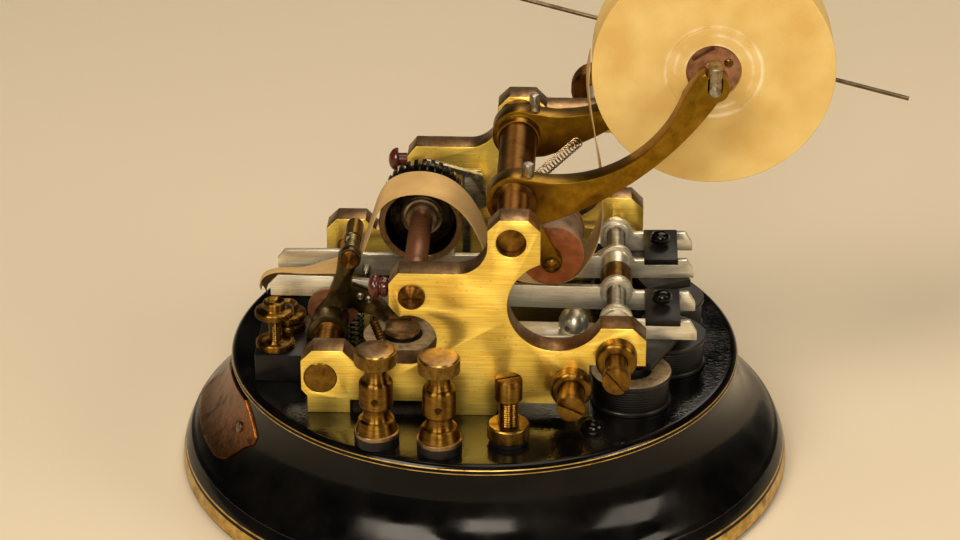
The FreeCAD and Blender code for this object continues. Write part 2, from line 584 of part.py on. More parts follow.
def tape_shape():
    """The paper runs down from the roll, under the guide roller, over the type wheel and
    out to the left between the lever ends."""
    deck = value(DECK)
    gap = value("body_gap") + value("tape_thick")
    roll_left = value("reel_x") - value("roll_radius") - gap
    roller_x, roller_z = value("roller_x"), deck + value("roller_height")
    around = value("roller_radius") + gap
    wheel_x, wheel_z = -value("type_x"), deck + value("type_height")
    over = value("type_radius") + value("type_tooth") + gap
    out = deck + value("tape_height")
    points = [(roll_left, value(REEL_Z)), (roll_left + 3, value(REEL_Z) - 36),
              (roller_x + around + 5.5, roller_z + 14), (roller_x + around + 1.5, roller_z - 2),
              (roller_x + around * 0.55, roller_z - around * 0.86),
              (roller_x - around * 0.35, roller_z - around),
              (roller_x - around - 9, roller_z - around * 0.45),
              (wheel_x + 21.5, wheel_z - 3), (wheel_x + over * 0.62, wheel_z + over * 0.85),
              (wheel_x - 1.2, wheel_z + over + 0.2),
              (wheel_x - over * 0.75, wheel_z + over * 0.78),
              (wheel_x - over - 2.4, wheel_z - 1.5), (-43.2, out + 6.2), (-47.5, out + 0.9),
              (-54, out), (-66, out - 0.1), (3 - value("tape_end"), out - 0.2),
              (-value("tape_end") - 0.9, out - 2.6), (-value("tape_end") - 1.4, out - 7)]
    curve = Part.BSplineCurve()
    curve.interpolate([Vector(x, -value("tape_front"), z) for x, z in points])
    first, last = curve.FirstParameter, curve.LastParameter
    steps, sides = 90, ([], [])
    for i in range(steps + 1):
        at = first + (last - first) * i / steps
        along = curve.tangent(at)[0]
        across = Vector(-along.z, 0, along.x) * (value("tape_thick") / 2)
        sides[0].append(curve.value(at) + across)
        sides[1].insert(0, curve.value(at) - across)
    edges = []
    for side, other in (sides, sides[::-1]):
        face = Part.BSplineCurve()
        face.interpolate(side)
        edges += [face.toShape(), Part.LineSegment(side[-1], other[0]).toShape()]
    return Part.Face(Part.Wire(edges)).extrude(Vector(0, value("tape_width"), 0))


made("paper_tape", tape_shape())

# ------------------------------------------------------------------ guide roller
ROLLER_Z = above_deck("roller_height")
STRAP_FRONT = "(arm_thick-arm_front_face)"      # the strap lies on the arm's back face
strap = Piece("guide_strap", x="roller_x", y="%s+strap_thick" % STRAP_FRONT, z=ROLLER_Z,
              turn=FRONTWARD)
TOP_X, TOP_Z = "(bar_x-roller_x)", "(bar_height-roller_height)"
strap.pad([("0-strap_width/2", "0"), ("strap_width/2", "0"),
           ("%s+strap_width/2" % TOP_X, TOP_Z), ("%s-strap_width/2" % TOP_X, TOP_Z)],
          "strap_thick")
strap.disc(0, 0, "strap_width/2", "strap_thick")
strap.disc(TOP_X, TOP_Z, "strap_eye_radius", "strap_thick")
strap.bore(TOP_X, TOP_Z, "bar_radius", "strap_thick", "strap_thick")
strap.disc(0, 0, "roller_head_radius", "roller_head_thick", "strap_thick")
pin_end = "(0-%s-strap_thick-roller_front+roller_length+1)" % STRAP_FRONT
strap.disc(0, 0, "roller_pin", pin_end, "0-" + pin_end)
strap_boss = "(0-%s-strap_thick-roller_front-body_gap)" % STRAP_FRONT
strap.disc(0, 0, "strap_boss_radius", strap_boss, "0-" + strap_boss)

roller = Piece("guide_roller", x="roller_x", y="0-roller_front", z=ROLLER_Z, turn=BACKWARD)
roller.spin(("roller_pin+running_fit", "0"), ("roller_radius", "0"),
            ("roller_radius", "roller_rim"), ("roller_radius-roller_waist", "roller_rim"),
            ("roller_radius-roller_waist", "roller_length-roller_rim"),
            ("roller_radius", "roller_length-roller_rim"), ("roller_radius", "roller_length"),
            ("roller_pin+running_fit", "roller_length"))

# ------------------------------------------------------------------ type wheel group
TYPE_Z = above_deck("type_height")
wheel = Piece("type_wheel", x="0-type_x", y="0", z=TYPE_Z, turn=BACKWARD)
dish_edge = "(type_radius-type_rim)"
wheel.spin(("type_shaft_radius", "type_dish-type_hub_length"),
           ("type_hub_radius", "type_dish-type_hub_length"),
           ("type_hub_radius", "type_dish"), (dish_edge + "-1.4", "type_dish"),
           (dish_edge, "type_dish-2.4"), (dish_edge, "0"),
           ("type_radius+type_tooth", "0"), ("type_radius+type_tooth", "type_width"),
           ("type_shaft_radius", "type_width"))
wheel.pocket([("type_radius", "0-0.75"), ("type_radius+2", "0-1.1"),
              ("type_radius+2", "1.1"), ("type_radius", "0.75")],
             "type_width+1", "type_width").around("type_teeth")

shaft = Piece("type_shaft", x="0-type_x", y=INSIDE_FRONT, z=TYPE_Z, turn=BACKWARD)
shaft_end = "(%s-plate_thick+front_face-body_gap)" % BACK_FACE
shaft.spin(("0", "0-type_journal_length"), ("type_journal", "0-type_journal_length"),
           ("type_journal", "body_gap"), ("type_shaft_radius", "body_gap"),
           ("type_shaft_radius", shaft_end), ("type_journal", shaft_end),
           ("type_journal", "%s+plate_thick" % shaft_end), ("0", "%s+plate_thick" % shaft_end))

escape = Piece("escapement_wheel", x="0-type_x", y="escape_front", z=TYPE_Z, turn=BACKWARD)
escape.spin(("type_shaft_radius", "0-escape_hub_length"),
            ("type_hub_radius", "0-escape_hub_length"),
            ("type_hub_radius", "0"), ("escape_radius", "0"),
            ("escape_radius", "escape_thick"), ("type_shaft_radius", "escape_thick"))
escape.pocket([("escape_radius-escape_tooth", "0-0.3"), ("escape_radius+1", "0-0.6"),
               ("escape_radius+1", "1.5"), ("escape_radius-escape_tooth", "0.4")],
              "escape_thick+1", "escape_thick").around("escape_teeth")

bearing = Piece("front_bearing_screw", x="0-type_x", y=INSIDE_FRONT, z=TYPE_Z,
                turn=FRONTWARD)
bearing.spin(("0", "type_journal_length+body_gap"),
             ("type_journal+running_fit", "type_journal_length+body_gap"),
             ("type_journal+running_fit", "0"), ("bearing_shank_radius", "0"),
             ("bearing_shank_radius", "plate_thick"), ("bearing_head_radius", "plate_thick"),
             ("bearing_head_radius", "plate_thick+bearing_edge"),
             dome("bearing_head_radius", "bearing_head_thick-bearing_edge"),
             ("0", "plate_thick+bearing_head_thick"))
bearing.slot("bearing_head_radius", "plate_thick+bearing_head_thick")

for label, y_middle in (("front_lock_knob", "plate_thick/2-front_face"),
                        ("back_lock_knob", "%s+plate_thick/2" % BACK_FACE)):
    lock = Piece(label, x="0-lobe_left-body_gap", y=y_middle, z=above_deck("lock_height"),
                 turn=LEFTWARD)
    lock.spin(("0", "0-lock_shank_length"), ("lock_shank_radius", "0-lock_shank_length"),
              ("lock_shank_radius", "0"), ("lock_neck_radius", "0"),
              ("lock_neck_radius-0.4", "lock_neck_length"),
              ("lock_head_radius", "lock_neck_length"),
              ("lock_head_radius", "lock_neck_length+lock_head_thick*0.45"),
              dome("lock_head_radius", "lock_head_thick*0.55"),
              ("0", "lock_neck_length+lock_head_thick"))

# ------------------------------------------------------------------ right shaft and levers
ROCK_Z = above_deck(ROCK_HEIGHT)
rock = Piece("right_shaft", x="rock_x", y=INSIDE_FRONT, z=ROCK_Z, turn=BACKWARD)
rock_end = "(%s-plate_thick+front_face)" % BACK_FACE
rock.spin(("0", "body_gap"), ("rock_radius", "body_gap"), ("rock_radius", rock_end),
          ("rock_trunnion", rock_end), ("rock_trunnion", "%s+plate_thick" % rock_end),
          ("0", "%s+plate_thick" % rock_end))

spacer = Piece("shaft_spacer", x="rock_x", y="lever_thick+hub_back+body_gap-lever_c_y",
               z=ROCK_Z, turn=BACKWARD)
spacer.spin(("rock_radius", "0"), ("spacer_radius", "0"), ("spacer_radius", "spacer_length"),
            ("rock_radius", "spacer_length"))

# Each lever is a flat bar whose upper edge lies level with the shaft; a hump stands over
# the shaft and runs into the bar by a small fillet on either side.
REST = Rotation(Vector(0, 1, 0), -value("rear_tilt"))   # the rear pair's right end is up
outer_hump = "(hump_radius+hump_fillet)"
right_x = "sqrt(%s^2-hump_fillet^2)" % outer_hump
left_side = "(left_arm_top+hump_fillet)"
left_x = "sqrt(%s^2-%s^2)" % (outer_hump, left_side)
on_hump = "hump_radius/%s" % outer_hump
RIGHT_ARM = [("lever_right", "0-lever_low"), ("lever_right", "0-clip_drop"),
             ("lever_right-clip_run", "0"), ("yoke_x+yoke_width", "0"),
             ("yoke_x+yoke_width", "0-yoke_sink"), ("yoke_x", "0-yoke_sink"),
             ("yoke_x", "0"), (right_x, "0"), Arc("hump_fillet", -1),
             ("%s*%s" % (right_x, on_hump), "hump_fillet*%s" % on_hump),
             Arc("hump_radius", 1)]
LEFT_ARM = [("0-%s*%s" % (left_x, on_hump), "%s*%s" % (left_side, on_hump)),
            Arc("hump_fillet", -1), ("0-%s" % left_x, "left_arm_top"),
            ("0-crank_x", "crank_top"), ("0-crank_x-crank_run", "crank_top+crank_rise"),
            ("tip_run-lever_left", "crank_top+crank_rise+0.2"),
            ("0-lever_left", "crank_top+crank_rise+0.2-tip_drop"),
            ("0-lever_left", "0-tip_low"), ("0-crank_x-crank_run", "0-tip_low"),
            ("0-crank_x", "0-crank_low"), ("0-hump_radius", "0-lever_low")]
SHORT_END = [("0-hump_radius", "0"), ("0-hump_radius", "clip_run-lever_low"),
             ("clip_run-hump_radius", "0-lever_low")]


def lever(label, front, outline, hub, turn=UP, behind="0"):
    """A flat bar on a hub that rocks on the right shaft; front is the bar's front face."""
    bar = Piece(label, x="rock_x", y="%s+lever_thick" % front, z=ROCK_Z,
                turn=turn * FRONTWARD)
    face = "lever_thick+hub_%s_forward" % hub
    bar.pad(outline, "lever_thick")
    bar.disc(0, 0, "hub_%s_radius" % hub, "%s+%s" % (face, behind), "0-" + behind)
    bar.bore(0, 0, "rock_radius+running_fit", "%s+%s" % (face, behind), face)
    return bar


lever("lever_a", "lever_a_y", RIGHT_ARM + SHORT_END, "a", REST)
lever_b = lever("lever_b", "lever_b_y", RIGHT_ARM + LEFT_ARM, "b", REST)
lever("lever_c", "0-lever_c_y", RIGHT_ARM + LEFT_ARM, "c", UP, "hub_back")
lever("lever_d", "0-lever_d_y", RIGHT_ARM + SHORT_END, "d")

# Two pallets stand up from lever B under the escapement wheel, one on each side of it.
pallet_back = "(lever_b_y+lever_thick-escape_front-escape_thick)"
for side in (-1, 1):
    inner = "(0-type_x-rock_x%+d*pallet_span)" % side
    outer = "(%s%+d*pallet_width)" % (inner, side)
    corners = [(inner, "0-pallet_low"), (outer, "0-pallet_low"),
               (outer, "pallet_top+pallet_slant"), (inner, "pallet_top")]
    lever_b.pad(corners[::side], "lever_thick-%s" % pallet_back, pallet_back)

# A yoke is let into the tops of each pair of bars; its distance piece carries the slab.
for number, front, back, turn in (
        ("1", "lever_b_y", "(lever_a_y+lever_thick)", REST),
        ("2", "(0-lever_d_y)", "(lever_thick-lever_c_y)", UP)):
    yoke = Piece("armature_block_" + number, x="rock_x", y=front, z=ROCK_Z, turn=turn)
    span = "(%s-%s)" % (back, front)
    yoke.pad(rectangle("yoke_x", 0, "yoke_x+yoke_width", span), "yoke_sink+yoke_proud",
             "0-yoke_sink")
    middle = "(yoke_x+yoke_width/2)"
    yoke.pad(rectangle("%s-distance_piece/2" % middle, "%s/2-distance_piece/2" % span,
                       "%s+distance_piece/2" % middle, "%s/2+distance_piece/2" % span),
             "lever_low-yoke_sink", "0-lever_low")

# The iron slabs lie under the levers, turned in line with the pair of coils below.
pair_turn = math.degrees(math.atan2(value("coil_inner_y-coil_outer_y"),
                                    value("coil_outer_x-coil_inner_x")))
aside = "((coil_inner_x+coil_outer_x)/2-rock_x)"
below = "(0-lever_low-slab_thick)"
for number, side, tilt in (("1", 1, "rear_tilt"), ("2", -1, "0")):
    slab = Piece("armature_slab_" + number,
                 x="rock_x+%s*cos(%s)-%s*sin(%s)" % (aside, tilt, below, tilt),
                 y="%d*(coil_inner_y+coil_outer_y)/2" % side,
                 z="%s+%s*sin(%s)+%s*cos(%s)" % (ROCK_Z, aside, tilt, below, tilt),
                 turn=Rotation(Vector(0, 1, 0), -value(tilt))
                 * Rotation(Vector(0, 0, 1), -side * pair_turn))
    slab.pad(rectangle("0-slab_length/2", "0-slab_width/2", "slab_length/2",
                       "slab_width/2"), "slab_thick")

# ------------------------------------------------------------------ magnet coils
COILS = {"front_coil_inner": ("coil_inner_x", "0-coil_inner_y", "pole_rise"),
         "front_coil_outer": ("coil_outer_x", "0-coil_outer_y", "pole_rise"),
         "rear_coil_inner": ("coil_inner_x", "coil_inner_y", "pole_rise"),
         "rear_coil_outer": ("coil_outer_x", "coil_outer_y", "pole_rise"),
         "left_coil_front": ("0-coil_left_x", "0-coil_left_front", "pole_tip"),
         "left_coil_rear": ("0-coil_left_x", "coil_left_back", "pole_tip")}
for label, (x, y, rise) in COILS.items():
    coil = Piece(label, x=x, y=y, z=DECK)
    coil.spin(("0", "0"), ("coil_radius", "0"), ("coil_radius", "cheek_thick"),
              ("coil_wind_radius", "cheek_thick"),
              ("coil_wind_radius", "coil_height-cheek_thick"),
              ("coil_radius", "coil_height-cheek_thick"), ("coil_radius", "coil_height"),
              ("pole_radius", "coil_height"), ("pole_radius", "coil_height+" + rise),
              ("0", "coil_height+" + rise))

# ------------------------------------------------------------------ left shaft, print lever
LEFT_Z = above_deck("left_height")
left = Piece("left_shaft", x="0-left_x", y=INSIDE_FRONT, z=LEFT_Z, turn=BACKWARD)
left_step = "(front_face-plate_thick-left_step)"
left_end = "(%s+front_face)" % BACK_FACE
sleeve_end = "(front_face-plate_thick-drum_front-body_gap)"
plug_face = "plug_recess-plate_thick"
lip = "left_sleeve_radius+left_lip"
left.spin(("0", plug_face), ("0", left_end), ("left_thin_radius", left_end),
          ("left_thin_radius", left_step), ("left_radius", left_step),
          ("left_radius", sleeve_end), (lip, sleeve_end),
          (lip, "%s-left_lip_length" % sleeve_end),
          ("left_sleeve_radius", "%s-left_lip_length" % sleeve_end),
          ("left_sleeve_radius", "0"), ("left_plug_radius", "0"),
          ("left_plug_radius", plug_face))
left.front_slot("left_plug_radius", plug_face)

# The printing lever: a drum on the left shaft, an arm up to the spindle's eye and a second
# one bending down to the right until its lip lies on the armature.
ARMATURE_LOW = "(coil_height+pole_tip+armature_gap)"
printer = Piece("print_lever", x="0-left_x", y="0-drum_back", z=LEFT_Z, turn=FRONTWARD)
drum_length = "(drum_front-drum_back)"
printer.disc(0, 0, "drum_radius", drum_length)
printer.disc(0, 0, "drum_radius+drum_lip", "drum_lip_length",
             drum_length + "-drum_lip_length")
arm_level = "(print_arm_front-drum_back-print_arm_thick)"
eye_top = "print_eye_height+1.6"
lip_low = "(%s+armature_thick-left_height+running_fit)" % ARMATURE_LOW
lip_left = "(left_x-coil_left_x-armature_width/2-running_fit)"
printer.pad([("0-4.6", "0-3.4"), ("4.6", "0-3.4"), ("4.4", "4.3"), ("7.7", "5.4"), ("11.7", "3.3"),
             ("16.5", "1.6"), ("%s-1.6" % lip_left, "%s-1.4" % lip_low),
             (lip_left, lip_low), ("%s+lever_lip" % lip_left, lip_low),
             ("%s+lever_lip" % lip_left, "%s+lever_lip_thick" % lip_low),
             ("%s+lever_lip_thick" % lip_left, "%s+lever_lip_thick" % lip_low),
             ("20.3", "5.6"), ("17.2", "8.3"), ("13.5", "12.1"), ("7.6", "14.1"),
             ("7.4", "16.5"), ("8.9", "20.4"), ("print_eye_x+print_eye_radius-0.3", eye_top),
             ("print_eye_x+0.3-print_eye_radius", eye_top), ("2.1", "18.1"),
             ("0-0.4", "11.5"), ("0-1.2", "8.5"), ("0-5.2", "3.2")],
            "print_arm_thick", arm_level)
printer.disc("print_eye_x", "print_eye_height", "print_eye_radius", "print_arm_thick",
             arm_level)
printer.disc(0, "tail_rise", "tail_radius", "tail_thick")
printer.disc("left_x-spring_x", "spring_pin_height", "spring_pin_radius",
             "spring_pin_length+tail_thick", "0-spring_pin_length")
printer.bore(0, 0, "left_radius+running_fit", drum_length, drum_length)
printer.bore("print_eye_x", "print_eye_height", "spindle_neck_radius", "print_arm_thick",
             arm_level + "+print_arm_thick")

armature = Piece("print_armature", x="0-coil_left_x", y="0-coil_left_front",
                 z=above_deck(ARMATURE_LOW))
armature.disc(0, 0, "boss_radius", "armature_thick")
armature.pad(rectangle("0-armature_width/2", 0, "armature_width/2",
                       "coil_left_front+coil_left_back+armature_end"),
             "armature_thick")

spindle = Piece("feed_spindle", x="print_eye_x-left_x", y="0-print_arm_front-spindle_front",
                z=above_deck("left_height+print_eye_height"), turn=BACKWARD)
neck_end = "spindle_head_length+spindle_neck_length"
spindle.spin(("0", "0-spindle_tip_length"), ("spindle_tip_radius", "0-spindle_tip_length"),
             ("spindle_tip_radius", "0"), ("spindle_head_radius", "0"),
             ("spindle_head_radius", "spindle_front-running_fit"),
             ("spindle_neck_radius", "spindle_front-running_fit"),
             ("spindle_neck_radius", "spindle_front+print_arm_thick+running_fit"),
             ("spindle_head_radius", "spindle_front+print_arm_thick+running_fit"),
             ("spindle_head_radius", "spindle_head_length"),
             ("spindle_neck_radius", "spindle_head_length"),
             ("spindle_neck_radius", neck_end), ("spindle_radius", neck_end),
             ("spindle_radius", "spindle_length"), ("0", "spindle_length"))


def spring_shape():
    """Compression spring between the deck and the print lever's pin."""
    wire, radius = value("spring_wire"), value("spring_radius")
    low = value(DECK) + wire
    top = value(LEFT_Z) + value("spring_pin_height-spring_pin_radius-body_gap")
    height = top - wire - low
    helix = Part.makeHelix(height / value("spring_turns"), height, radius)
    ring = Part.Wire(Part.Circle(Vector(radius, 0, 0), Vector(0, 1, 0), wire).toShape())
    coil = Part.Wire(helix.Edges).makePipeShell([ring], True, True)
    coil.translate(Vector(-value("spring_x"), -value("spring_y"), low))
    return coil


made("return_spring", spring_shape())

# ------------------------------------------------------------------ pivot screws, front
FRONT_Y = "0-front_face"
for name, x, height in (("right", "rock_x", ROCK_HEIGHT),
                        ("lower", "low_screw_x", "low_screw_height")):
    neck = name + "_neck_radius"
    nut = Piece(name + "_pivot_nut", x=x, y=FRONT_Y, z=above_deck(height), turn=FRONTWARD)
    nut.spin((neck + "+running_fit", "0"), ("nut_radius", "0"),
             ("nut_radius", "nut_thick-nut_round"), Arc("nut_round", 1),
             ("nut_radius-nut_round", "nut_thick"), (neck + "+running_fit", "nut_thick"))
    slot_turn = Rotation(Vector(0, 0, 1), -value(name + "_slot_turn"))
    screw = Piece(name + "_pivot_screw", x=x, y=INSIDE_FRONT, z=above_deck(height),
                  turn=FRONTWARD * slot_turn)
    top = "(plate_thick+%s_screw_reach)" % name
    screw.spin(("0", "0"), ("screw_neck_radius", "0"),
               ("screw_neck_radius", "plate_thick+running_fit"),
               (neck, "plate_thick+running_fit"), (neck, "%s-screw_head_thick" % top),
               ("screw_head_radius", "%s-screw_head_thick+0.6" % top),
               ("screw_head_radius", top), ("0", top))
    screw.slot("screw_head_radius", top)

# ------------------------------------------------------------------ binding posts
for number, x, inset in (("1", "post_x", "post_inset"), ("2", "post2_x", "post2_inset")):
    y = "(%s-%s)" % (DECK_RADIUS, inset)
    post = Piece("binding_post_" + number, x="0-" + x, y="0-" + y, z=DECK)
    screw_hole = "thumb_shank_radius+running_fit"
    post.spin(("0", "0"), ("washer_radius", "0"), ("washer_radius", "washer_thick"),
              ("ring_radius", "washer_thick"), ("ring_radius", "ring_top"),
              ("flange_radius", "ring_top"), ("flange_narrow", "flange_top"),
              ("waist_radius", "waist_low"), ("waist_radius", "waist_high"),
              ("barrel_radius", "barrel_low"),
              ("barrel_radius", "barrel_top-barrel_round"), Arc("barrel_round", 1),
              ("barrel_radius-barrel_round", "barrel_top"),
              ("post_neck_radius", "barrel_top+shoulder"),
              ("post_neck_radius", "post_height"), (screw_hole, "post_height"),
              (screw_hole, "post_height-thumb_shank-body_gap"),
              ("0", "post_height-thumb_shank-body_gap"))
    sketch = post._sketch("XZ_Plane")
    post._circle(sketch, "0", "wire_hole_height", "wire_hole")
    hole = post._feature("Pocket", sketch)
    hole.Midplane = True
    tie(hole, "Length", "4*barrel_radius")
    thumb = Piece("thumb_head_" + number, x="0-" + x, y="0-" + y,
                  z=above_deck("post_height+body_gap"))
    thumb.spin(("0", "0-thumb_shank"), ("thumb_shank_radius", "0-thumb_shank"),
               ("thumb_shank_radius", "0"), ("thumb_radius-thumb_bevel", "0"),
               ("thumb_radius", "thumb_bevel"), ("thumb_radius", "thumb_thick-thumb_bevel"),
               ("thumb_radius-thumb_bevel", "thumb_thick"), ("0", "thumb_thick"))

ADJUST_Y = "(adjust_inset-%s)" % DECK_RADIUS
adjust_hole = "adjust_shank_radius+running_fit"
adjust_nut = Piece("adjust_post_nut", x="adjust_x", y=ADJUST_Y, z=DECK)
adjust_nut.spin(("0", "0"), ("adjust_washer_radius", "0"),
                ("adjust_washer_radius", "adjust_washer"),
                ("adjust_nut_radius", "adjust_washer"),
                ("adjust_nut_radius", "adjust_nut_thick-0.3"),
                ("adjust_nut_radius-0.3", "adjust_nut_thick"),
                (adjust_hole, "adjust_nut_thick"),
                (adjust_hole, "adjust_nut_thick-adjust_in-body_gap"),
                ("0", "adjust_nut_thick-adjust_in-body_gap"))
adjust = Piece("adjust_post_screw", x="adjust_x", y=ADJUST_Y, z=DECK,
               turn=Rotation(Vector(0, 0, 1), value("adjust_slot_turn")))
adjust.spin(("0", "adjust_nut_thick-adjust_in"),
            ("adjust_shank_radius", "adjust_nut_thick-adjust_in"),
            ("adjust_shank_radius", "adjust_head_low-1"),
            ("adjust_head_radius", "adjust_head_low"),
            ("adjust_head_radius", "adjust_top-1"), ("adjust_head_radius-0.8", "adjust_top"),
            ("0", "adjust_top"))
adjust.slot("adjust_head_radius", "adjust_top")

# ------------------------------------------------------------------ line terminals
BLOCK_LEFT = "(%s-ebonite_inset)" % DECK_RADIUS
ebonite = Piece("terminal_block", x="0-" + BLOCK_LEFT, y="0-block_front", z=DECK)
ebonite.pad(rectangle(0, 0, "ebonite_width", "block_front-block_back"), "ebonite_height")
EBONITE_TOP = above_deck("ebonite_height")
for letter in ("a", "b"):
    x, y = "stud_%s_in-%s" % (letter, BLOCK_LEFT), "0-stud_%s_y" % letter
    low = "nut_%s_low" % letter
    ring_top = "disc_thick+collar_thick"
    stem = "%s+%s-collar_recess" % (low, ring_top)
    stud = Piece("terminal_stud_" + letter, x=x, y=y, z=EBONITE_TOP)
    stud.spin(("0", "0"), ("disc_radius", "0"), ("disc_radius", "disc_thick"),
              ("disc_radius-1.2", "disc_thick"), ("disc_radius-1.6", "disc_thick-disc_recess"),
              ("stem_radius+1", "disc_thick-disc_recess"), ("stem_radius", "disc_thick"),
              ("stem_radius", stem), ("0", stem))
    nut = Piece("terminal_nut_" + letter, x=x, y=y, z="%s+%s" % (EBONITE_TOP, low))
    nut.spin(("stem_radius+running_fit", "0"), ("disc_radius-0.4", "0"),
             ("disc_radius", "0.4"), ("disc_radius", "disc_thick-0.4"),
             ("disc_radius-1", "disc_thick"), ("collar_radius", "disc_thick"),
             ("collar_radius", ring_top + "-0.5"), ("collar_radius-0.5", ring_top),
             ("stem_radius+0.8", ring_top),
             ("stem_radius+running_fit", ring_top + "-collar_recess"))

# ------------------------------------------------------------------ rear knob and unison
knob = Piece("setting_knob", x="knob_x", y="%s-knob_tail" % BACK_FACE,
             z=above_deck("knob_height"), turn=BACKWARD)
knob_face = "(knob_tail+plate_thick+knob_reach)"
knob_edge, knob_end = "knob_radius-knob_bevel", knob_face + "+knob_thick"
knob.spin(("0", "0"), ("knob_shaft_radius", "0"), ("knob_shaft_radius", knob_face),
          (knob_edge, knob_face), ("knob_radius", knob_face + "+knob_bevel"),
          ("knob_radius", knob_end + "-knob_bevel"), (knob_edge, knob_end), ("0", knob_end))

unison = Piece("unison_plate", x="0", y="unison_y+unison_thick", z=DECK, turn=FRONTWARD)
foot_left, foot_right = "0-unison_left", "unison_stem-unison_left"
unison.pad([(foot_left, "unison_low+unison_stem/2"), (foot_left + "+0.7", "unison_low"),
            (foot_right + "-0.7", "unison_low"), (foot_right, "unison_low+unison_stem/2"),
            (foot_right, "unison_waist-4"), ("0-unison_right", "unison_waist"),
            ("0-unison_right-unison_slant", "unison_top"),
            ("0-unison_left+1", "unison_top"), ("0-unison_left", "unison_top-1")],
           "unison_thick")
stand_off = "(%s-unison_y-unison_thick)" % BACK_FACE
unison.disc("0-unison_left/2", "(unison_waist+unison_top)/2", "unison_stud_radius",
            stand_off, "0-" + stand_off)
unison.disc("0-unison_pivot_x", "unison_pivot_height", "unison_pin_radius",
            "unison_thick+body_gap", "unison_thick")
arm = Piece("unison_arm", x="0-unison_pivot_x", y="unison_y-body_gap",
            z=above_deck("unison_pivot_height"), turn=FRONTWARD)
tip = "0-unison_reach"
arm.pad([("2.4", "0-unison_arm_tall/2"), ("2.4", "unison_arm_tall/2"),
         (tip, "unison_arm_tall/2+unison_rise"),
         (tip, "unison_arm_tall/2+unison_rise-unison_block_tall"),
         (tip + "+unison_block", "unison_arm_tall/2+unison_rise-unison_block_tall"),
         (tip + "+unison_block", "unison_rise*0.78-unison_arm_tall/2")], "unison_thick")
arm.bore(0, 0, "unison_pin_radius+running_fit", "unison_thick", "unison_thick")

# ------------------------------------------------------------------ check and write
doc.recompute()
for item in doc.Objects:
    if any(word in item.State for word in ("Invalid", "Error")):
        raise RuntimeError("%s failed: %s" % (item.Name, item.State))
os.makedirs("parts", exist_ok=True)
for piece in PIECES:
    shape = piece.Shape
    if shape.isNull() or not shape.isValid() or len(shape.Solids) != 1:
        raise RuntimeError("%s is not one sound solid" % piece.Label)
    shape.exportStep("parts/%s.step" % piece.Label)
print("%d pieces written" % len(PIECES))
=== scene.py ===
"""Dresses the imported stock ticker: finishes, fine hardware, light and camera.

Lengths in the helpers are millimetres and become metres through MM; the frame is the CAD
row's: X right, Y back, Z up, origin at the middle of the base's underside.
"""
import bpy
import json
import math
from mathutils import Euler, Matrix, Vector


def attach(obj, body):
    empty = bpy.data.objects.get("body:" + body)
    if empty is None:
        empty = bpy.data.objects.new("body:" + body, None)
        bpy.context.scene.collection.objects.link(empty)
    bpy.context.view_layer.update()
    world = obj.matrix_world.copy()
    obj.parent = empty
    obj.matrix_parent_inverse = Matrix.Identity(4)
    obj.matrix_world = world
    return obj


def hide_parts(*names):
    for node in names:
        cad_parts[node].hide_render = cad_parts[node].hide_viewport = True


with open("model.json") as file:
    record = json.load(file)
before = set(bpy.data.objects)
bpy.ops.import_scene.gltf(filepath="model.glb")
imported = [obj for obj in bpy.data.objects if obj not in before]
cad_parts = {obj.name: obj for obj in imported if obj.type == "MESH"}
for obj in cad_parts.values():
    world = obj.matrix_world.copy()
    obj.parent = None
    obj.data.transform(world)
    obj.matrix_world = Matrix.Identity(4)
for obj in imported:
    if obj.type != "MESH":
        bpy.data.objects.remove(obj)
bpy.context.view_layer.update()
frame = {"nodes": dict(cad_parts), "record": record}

MM = 0.001
DECK = 44.0
TURN = 2 * math.pi
NODES = frame["nodes"]
BODY_OF = {node: body for body, nodes in frame["record"]["behaviour"]["bodies"].items()
           for node in nodes}
SLOT_OF = {part["node"]: part["material_slot"] for part in frame["record"]["subparts"]}

# ------------------------------------------------------------------ axes and faces
BAR_X, BAR_Z = 10.8, DECK + 65.2
LEFT_X, LEFT_Z = -53.5, DECK + 13.3
REEL_X, REEL_Z, ROLL_FRONT, ROLL_RADIUS = 77.3, DECK + 107.9, -8.5, 41
TAPE_WIDTH, TAPE_TURN = 19, 0.8
ROLLER_X, ROLLER_Z = 23.7, DECK + 38.4
TYPE_X, TYPE_Z = -22.4, DECK + 44.8
LOCK_X, LOCK_Z = -30.3, DECK + 46
PLATE_FRONT, SMOOTH_UNDER = -55.3, 32

# ------------------------------------------------------------------ camera
SENSOR, FOCUS = 36, 110.06
CAMERA_AT, SIGHT = (35.3, -920.8, 538.0), (-0.0358, 0.8914, -0.4518)


def set_camera():
    """Long lens from the front, looking down at the machine at about 27 degrees."""
    lens = bpy.data.cameras.new("long_lens")
    lens.sensor_width = SENSOR
    lens.lens = FOCUS
    lens.clip_start, lens.clip_end = 0.05, 20
    camera = bpy.data.objects.new("front_camera", lens)
    bpy.context.scene.collection.objects.link(camera)
    camera.location = Vector(CAMERA_AT) * MM
    camera.rotation_euler = Vector(SIGHT).to_track_quat("-Z", "Y").to_euler()
    bpy.context.scene.camera = camera


set_camera()


# ------------------------------------------------------------------ materials
def colour(code):
    """sRGB hex to the linear colour the shader wants."""
    parts = [int(code[i:i + 2], 16) / 255 for i in (1, 3, 5)]
    return [c / 12.92 if c <= 0.04045 else ((c + 0.055) / 1.055) ** 2.4 for c in parts] + [1]


def add(tree, kind, links=None, **settings):
    """One node with its settings; links names an input and the socket that feeds it."""
    made = tree.nodes.new(kind)
    for key, setting in settings.items():
        setattr(made, key, setting)
    for key, source in (links or {}).items():
        socket = made.inputs[key]
        if isinstance(source, bpy.types.NodeSocket):
            tree.links.new(source, socket)
        else:
            socket.default_value = source
    return made


